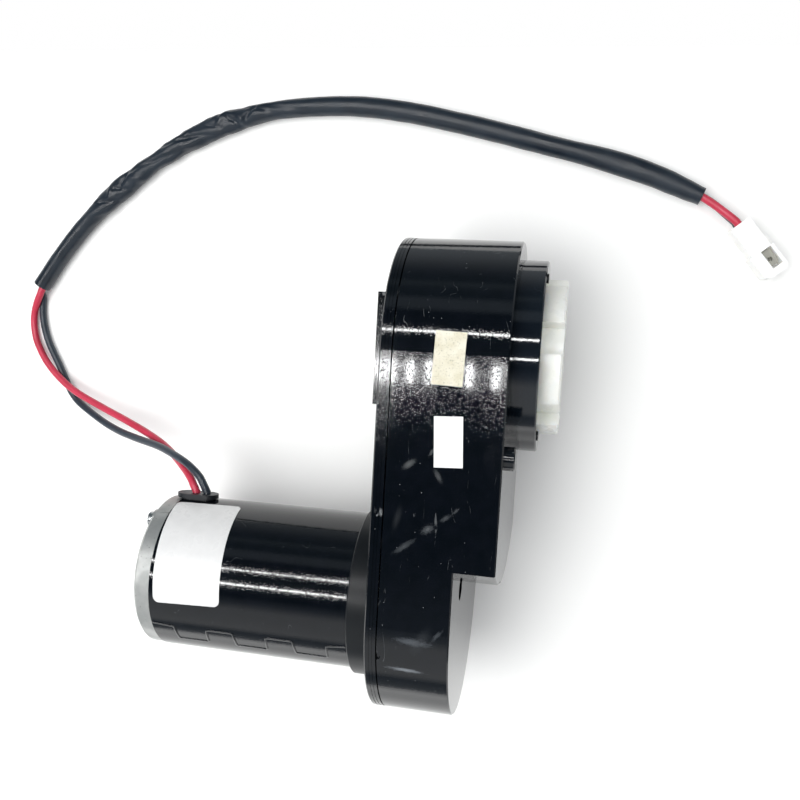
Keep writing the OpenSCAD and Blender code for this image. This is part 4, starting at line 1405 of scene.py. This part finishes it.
def wrap_sheet(sheet: Piece, width: float, radius: float, middle: float, centre: Point) -> None:
    """Bends a flat sheet in the XY plane round a can that lies along X.

    Args:
        sheet: The active sheet, at the origin.
        width: Its size along Y, in millimetres.
        radius: Radius of the can, in millimetres.
        middle: Angle of its middle from +Y towards +Z, in degrees.
        centre: Point on the can's axis at its middle, in metres.
    """
    # Stood on its end, because the bend turns about Z, and laid back along X after it.
    stood = Matrix(((0, 1, 0, 0), (0, 0, 1, 0), (1, 0, 0, 0), (0, 0, 0, 1)))
    sheet.matrix_world = stood
    bpy.ops.object.transform_apply(location=True, rotation=True, scale=True)
    bend = sheet.modifiers.new("bend", "SIMPLE_DEFORM")
    bend.deform_method = "BEND"
    bend.deform_axis = "Z"
    bend.angle = -width / radius
    bpy.ops.object.modifier_apply(modifier=bend.name)
    sheet.matrix_world = (
        Matrix.Translation(centre)
        @ Matrix.Rotation(math.radians(middle - 90), 4, "X")
        @ Matrix.Translation((0.0, 0.0, radius * MM))
        @ stood.inverted()
    )
    bpy.ops.object.transform_apply(location=True, rotation=True, scale=True)


@dataclass(frozen=True)
class Label:
    """A thin rectangle of paper or film that follows what it is stuck to.

    Attributes:
        name: Name of the piece.
        length: Its size along X, in millimetres.
        width: Its size across X, along the surface, in millimetres.
        corner: Radius of its corners, in millimetres.
        thick: Its thickness, in millimetres.
        skew: How far it is turned on the surface, in degrees.
        step: Size of the faces that it is divided into, in millimetres.
        gap: What the glue holds it off the surface, in millimetres.
    """

    name: str
    length: float
    width: float
    corner: float
    thick: float
    skew: float
    step: float = 1.5
    gap: float = 0.04

    def blank(self, centre: Point) -> Piece:
        """Cuts the flat blank in an XY plane, with its corners rounded and its face divided.

        Args:
            centre: Its middle, in metres.

        Returns:
            The blank, active and in object mode.
        """
        deselect()
        bpy.ops.mesh.primitive_plane_add(size=1.0)
        blank = bpy.context.object
        blank.scale = (self.length * MM, self.width * MM, 1.0)
        bpy.ops.object.transform_apply(location=False, rotation=False, scale=True)
        bpy.ops.object.mode_set(mode="EDIT")
        bpy.ops.mesh.select_all(action="SELECT")
        if self.corner:
            bpy.ops.mesh.bevel(
                offset=self.corner * MM, segments=8, affect="VERTICES", clamp_overlap=False
            )
        for across, reach in ((1, self.width), (0, self.length)):
            count = max(2, round(reach / self.step))
            normal = (1.0, 0.0, 0.0) if across == 0 else (0.0, 1.0, 0.0)
            for i in range(1, count):
                cut = [0.0, 0.0, 0.0]
                cut[across] = (i / count - 0.5) * reach * MM
                bpy.ops.mesh.select_all(action="SELECT")
                bpy.ops.mesh.bisect(plane_co=cut, plane_no=normal)
        bpy.ops.object.mode_set(mode="OBJECT")
        blank.rotation_euler = (0.0, 0.0, math.radians(self.skew))
        blank.location = centre
        bpy.ops.object.transform_apply(location=True, rotation=True, scale=True)
        return blank

    def lay_on(self, base: Piece, centre: Point) -> Piece:
        """Lays the blank from above on a surface that is nearly level.

        Args:
            base: What it is stuck to.
            centre: A point above its middle, in metres.

        Returns:
            The finished label.
        """
        blank = self.blank(centre)
        wrap = blank.modifiers.new("wrap", "SHRINKWRAP")
        wrap.target = base
        wrap.wrap_method = "PROJECT"
        wrap.use_project_z = True
        wrap.use_negative_direction = True
        wrap.use_positive_direction = False
        wrap.offset = self.gap * MM
        return self.finished(blank)

    def wrap_round(self, radius: float, middle: float, centre: Point) -> Piece:
        """Bends the blank round a can that lies along X.

        Args:
            radius: Radius of the can, in millimetres.
            middle: Angle of its middle from +Y towards +Z, in degrees.
            centre: Point on the can's axis at its middle, in metres.

        Returns:
            The finished label.
        """
        blank = self.blank((0.0, 0.0, 0.0))
        wrap_sheet(blank, self.width, radius + self.gap, middle, centre)
        return self.finished(blank)

    def finished(self, piece: Piece) -> Piece:
        """Thickens a laid blank outwards and smooths its face but not its edge.

        Args:
            piece: The active blank, in its place.

        Returns:
            The same object, as a finished label.
        """
        solid = piece.modifiers.new("thickness", "SOLIDIFY")
        solid.thickness = self.thick * MM
        solid.offset = 1.0
        finish_piece(piece, self.name)
        bpy.ops.object.shade_smooth_by_angle(angle=math.radians(40))
        return piece


@dataclass
class GearCase:
    """Gear case with two bare stickers on its flank.

    Attributes:
        rim_sticker: Masking paper over the round end.
        rim_place: A point above its middle, in metres.
        flank_sticker: White paper beside it.
        flank_place: A point above its middle, in metres.
    """

    rim_sticker: Label = Label("rim_sticker", 13.4, 23.0, 0.0, 0.12, -1.8)
    rim_place: Point = (0.0245, -0.002, 0.06)
    flank_sticker: Label = Label("flank_sticker", 12.5, 22.0, 0.3, 0.1, 3.1)
    flank_place: Point = (0.0264, -0.0375, 0.06)

    def build(self) -> None:
        """Makes the stickers and lays them on the case."""
        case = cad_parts["gearbox_housing"]
        for label, centre, stock in (
            (self.rim_sticker, self.rim_place, MASKING_PAPER),
            (self.flank_sticker, self.flank_place, WHITE_PAPER),
        ):
            piece = label.lay_on(case, centre)
            in_finish(piece, stock.material())
            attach(piece, "case")
            log.info("%s laid on the gear case", label.name)


@dataclass
class Motor:
    """Motor with its bare rating label.

    Attributes:
        axis: Y of the motor's axis, in millimetres.
        can_r: Radius of the can, in millimetres.
        label_x: Middle of the label along X, in millimetres.
        label_angle: Middle of the label round the can, in degrees.
        label: The film label.
    """

    axis: float = -122.01346
    can_r: float = 38.0
    label_x: float = -98.5
    label_angle: float = 56.0
    label: Label = Label("motor_label", 34.0, 57.0, 3.0, 0.12, 2.2)

    def build(self) -> None:
        """Makes the label and wraps it round the can."""
        piece = self.label.wrap_round(
            self.can_r, self.label_angle, (self.label_x * MM, self.axis * MM, 0.0)
        )
        in_finish(piece, LABEL_FILM.material())
        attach(piece, "case")
        log.info("%s wrapped round the can", self.label.name)


@dataclass
class Seam:
    """Dovetailed joint of the rolled can, which stands out under the paint as a fine bead.

    Attributes:
        start: X of the can's rear edge, in millimetres.
        end: X where the collar covers the can.
        first: X of the first tongue.
        pitch: Distance between the tongues.
        foot: Breadth of a tongue at its foot.
        flare: How much wider it is at each side of its head.
        depth: Length of a tongue.
        corner: Radius of its corners.
        bead: Half breadth and half height of the bead.
        angle: Middle of the joint round the can, in degrees.
        coat: Thickness of the paint that lies over the joint.
        arc: Steps in the round of a corner.
        facets: Sides of the coat.
    """

    start: float = -116.6
    end: float = -18.4
    first: float = -103.8
    pitch: float = 30.2
    foot: float = 13.6
    flare: float = 2.6
    depth: float = 11.6
    corner: float = 2.0
    bead: tuple[float, float] = (0.5, 0.3)
    angle: float = 127.1
    coat: float = 0.03
    arc: int = 4
    facets: int = 256

    @property
    def middle(self) -> float:
        """X of the joint's middle, in millimetres."""
        return (self.start + self.end) / 2

    def corners(self) -> list[Vector]:
        """Sharp corners of the joint, in its own plane.

        Returns:
            Points in millimetres, from the rear edge to the collar.
        """
        high, low = self.depth / 2, -self.depth / 2
        path = [Vector((self.start, high))]
        x = self.first
        while x + self.foot < self.end:
            path += [
                Vector((x, high)),
                Vector((x - self.flare, low)),
                Vector((x + self.foot + self.flare, low)),
                Vector((x + self.foot, high)),
            ]
            x += self.pitch
        return [*path, Vector((self.end, high))]

    def path(self) -> list[Vector]:
        """The joint with its corners rounded.

        Returns:
            Points in millimetres, from the rear edge to the collar.
        """
        sharp = self.corners()
        line = [sharp[0]]
        for before, here, after in zip(sharp, sharp[1:], sharp[2:]):
            u, v = (before - here).normalized(), (after - here).normalized()
            half = u.angle(v) / 2
            reach = self.corner / math.tan(half)
            middle = here + (u + v).normalized() * self.corner / math.sin(half)
            first, last = here + u * reach - middle, here + v * reach - middle
            line += [middle + first.slerp(last, k / self.arc) for k in range(self.arc + 1)]
        return [*line, sharp[-1]]

    def bead_piece(self, motor: Motor) -> Piece:
        """Draws the joint as a line of edges, gives it a skin and wraps it round the can.

        Args:
            motor: The motor that it runs along.

        Returns:
            The finished bead.
        """
        # The line starts from a plane that is merged to a point.
        deselect()
        bpy.ops.mesh.primitive_plane_add(size=0.001)
        bead = bpy.context.object
        bpy.ops.object.mode_set(mode="EDIT")
        bpy.ops.mesh.select_all(action="SELECT")
        bpy.ops.mesh.merge(type="CENTER")
        path = [Vector((p.x - self.middle, p.y, 0.0)) * MM for p in self.path()]
        place = Vector((0.0, 0.0, 0.0))
        for point in path:
            bpy.ops.mesh.extrude_region_move(TRANSFORM_OT_translate={"value": tuple(point - place)})
            place = point
        # The plane's own point isn't part of the line.
        bpy.ops.mesh.select_all(action="DESELECT")
        bpy.ops.object.mode_set(mode="OBJECT")
        bead.data.vertices[0].select = True
        bpy.ops.object.mode_set(mode="EDIT")
        bpy.ops.mesh.delete(type="VERT")
        bpy.ops.object.mode_set(mode="OBJECT")
        skin = bead.modifiers.new("skin", "SKIN")
        skin.use_smooth_shade = True
        for vertex in bead.data.skin_vertices[0].data:
            vertex.radius = (self.bead[0] * MM, self.bead[0] * MM)
        bpy.ops.object.modifier_apply(modifier=skin.name)
        bead.scale = (1.0, 1.0, self.bead[1] / self.bead[0])
        bpy.ops.object.transform_apply(location=False, rotation=False, scale=True)
        wrap_sheet(
            bead, self.depth, motor.can_r, self.angle, (self.middle * MM, motor.axis * MM, 0.0)
        )
        return finish_piece(bead, "can_seam")

    def coat_piece(self, motor: Motor) -> Piece:
        """Makes the coat of paint, a thin open cylinder that hides the cut of the joint.

        Args:
            motor: The motor that it lies on.

        Returns:
            The finished coat.
        """
        deselect()
        bpy.ops.mesh.primitive_cylinder_add(
            vertices=self.facets,
            radius=(motor.can_r + self.coat) * MM,
            depth=(self.end - self.start) * MM,
            end_fill_type="NOTHING",
            location=(self.middle * MM, motor.axis * MM, 0.0),
            rotation=(0.0, math.pi / 2, 0.0),
        )
        return finish_piece(bpy.context.object, "can_coat")

    def build(self, motor: Motor, finish: Material) -> None:
        """Makes the bead and lays the paint over the can.

        Args:
            motor: The motor that it runs along.
            finish: The can's paint.
        """
        for piece in (self.bead_piece(motor), self.coat_piece(motor)):
            pick(piece)
            bpy.ops.object.shade_smooth()
            in_finish(piece, finish)
            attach(piece, "case")
            log.info("%s, %d faces", piece.name, len(piece.data.polygons))


def dress_nodes() -> dict[str, Material]:
    """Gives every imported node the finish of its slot.

    Returns:
        The materials by slot name.
    """
    made = {slot: finish.material() for slot, finish in SLOT_FINISHES.items()}
    for name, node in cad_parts.items():
        for holder in node.material_slots:
            holder.material = made[holder.material.name.split(".")[0]]
        log.info("%s dressed", name)
    return made


def main() -> None:
    """Builds the scene in order."""
    studio = Studio()
    studio.camera()
    finishes = dress_nodes()
    Harness().build(finishes)
    GearCase().build()
    motor = Motor()
    motor.build()
    Seam().build(motor, finishes["can_paint"])
    studio.floor()
    studio.light()


if __name__ == "__main__":
    main()
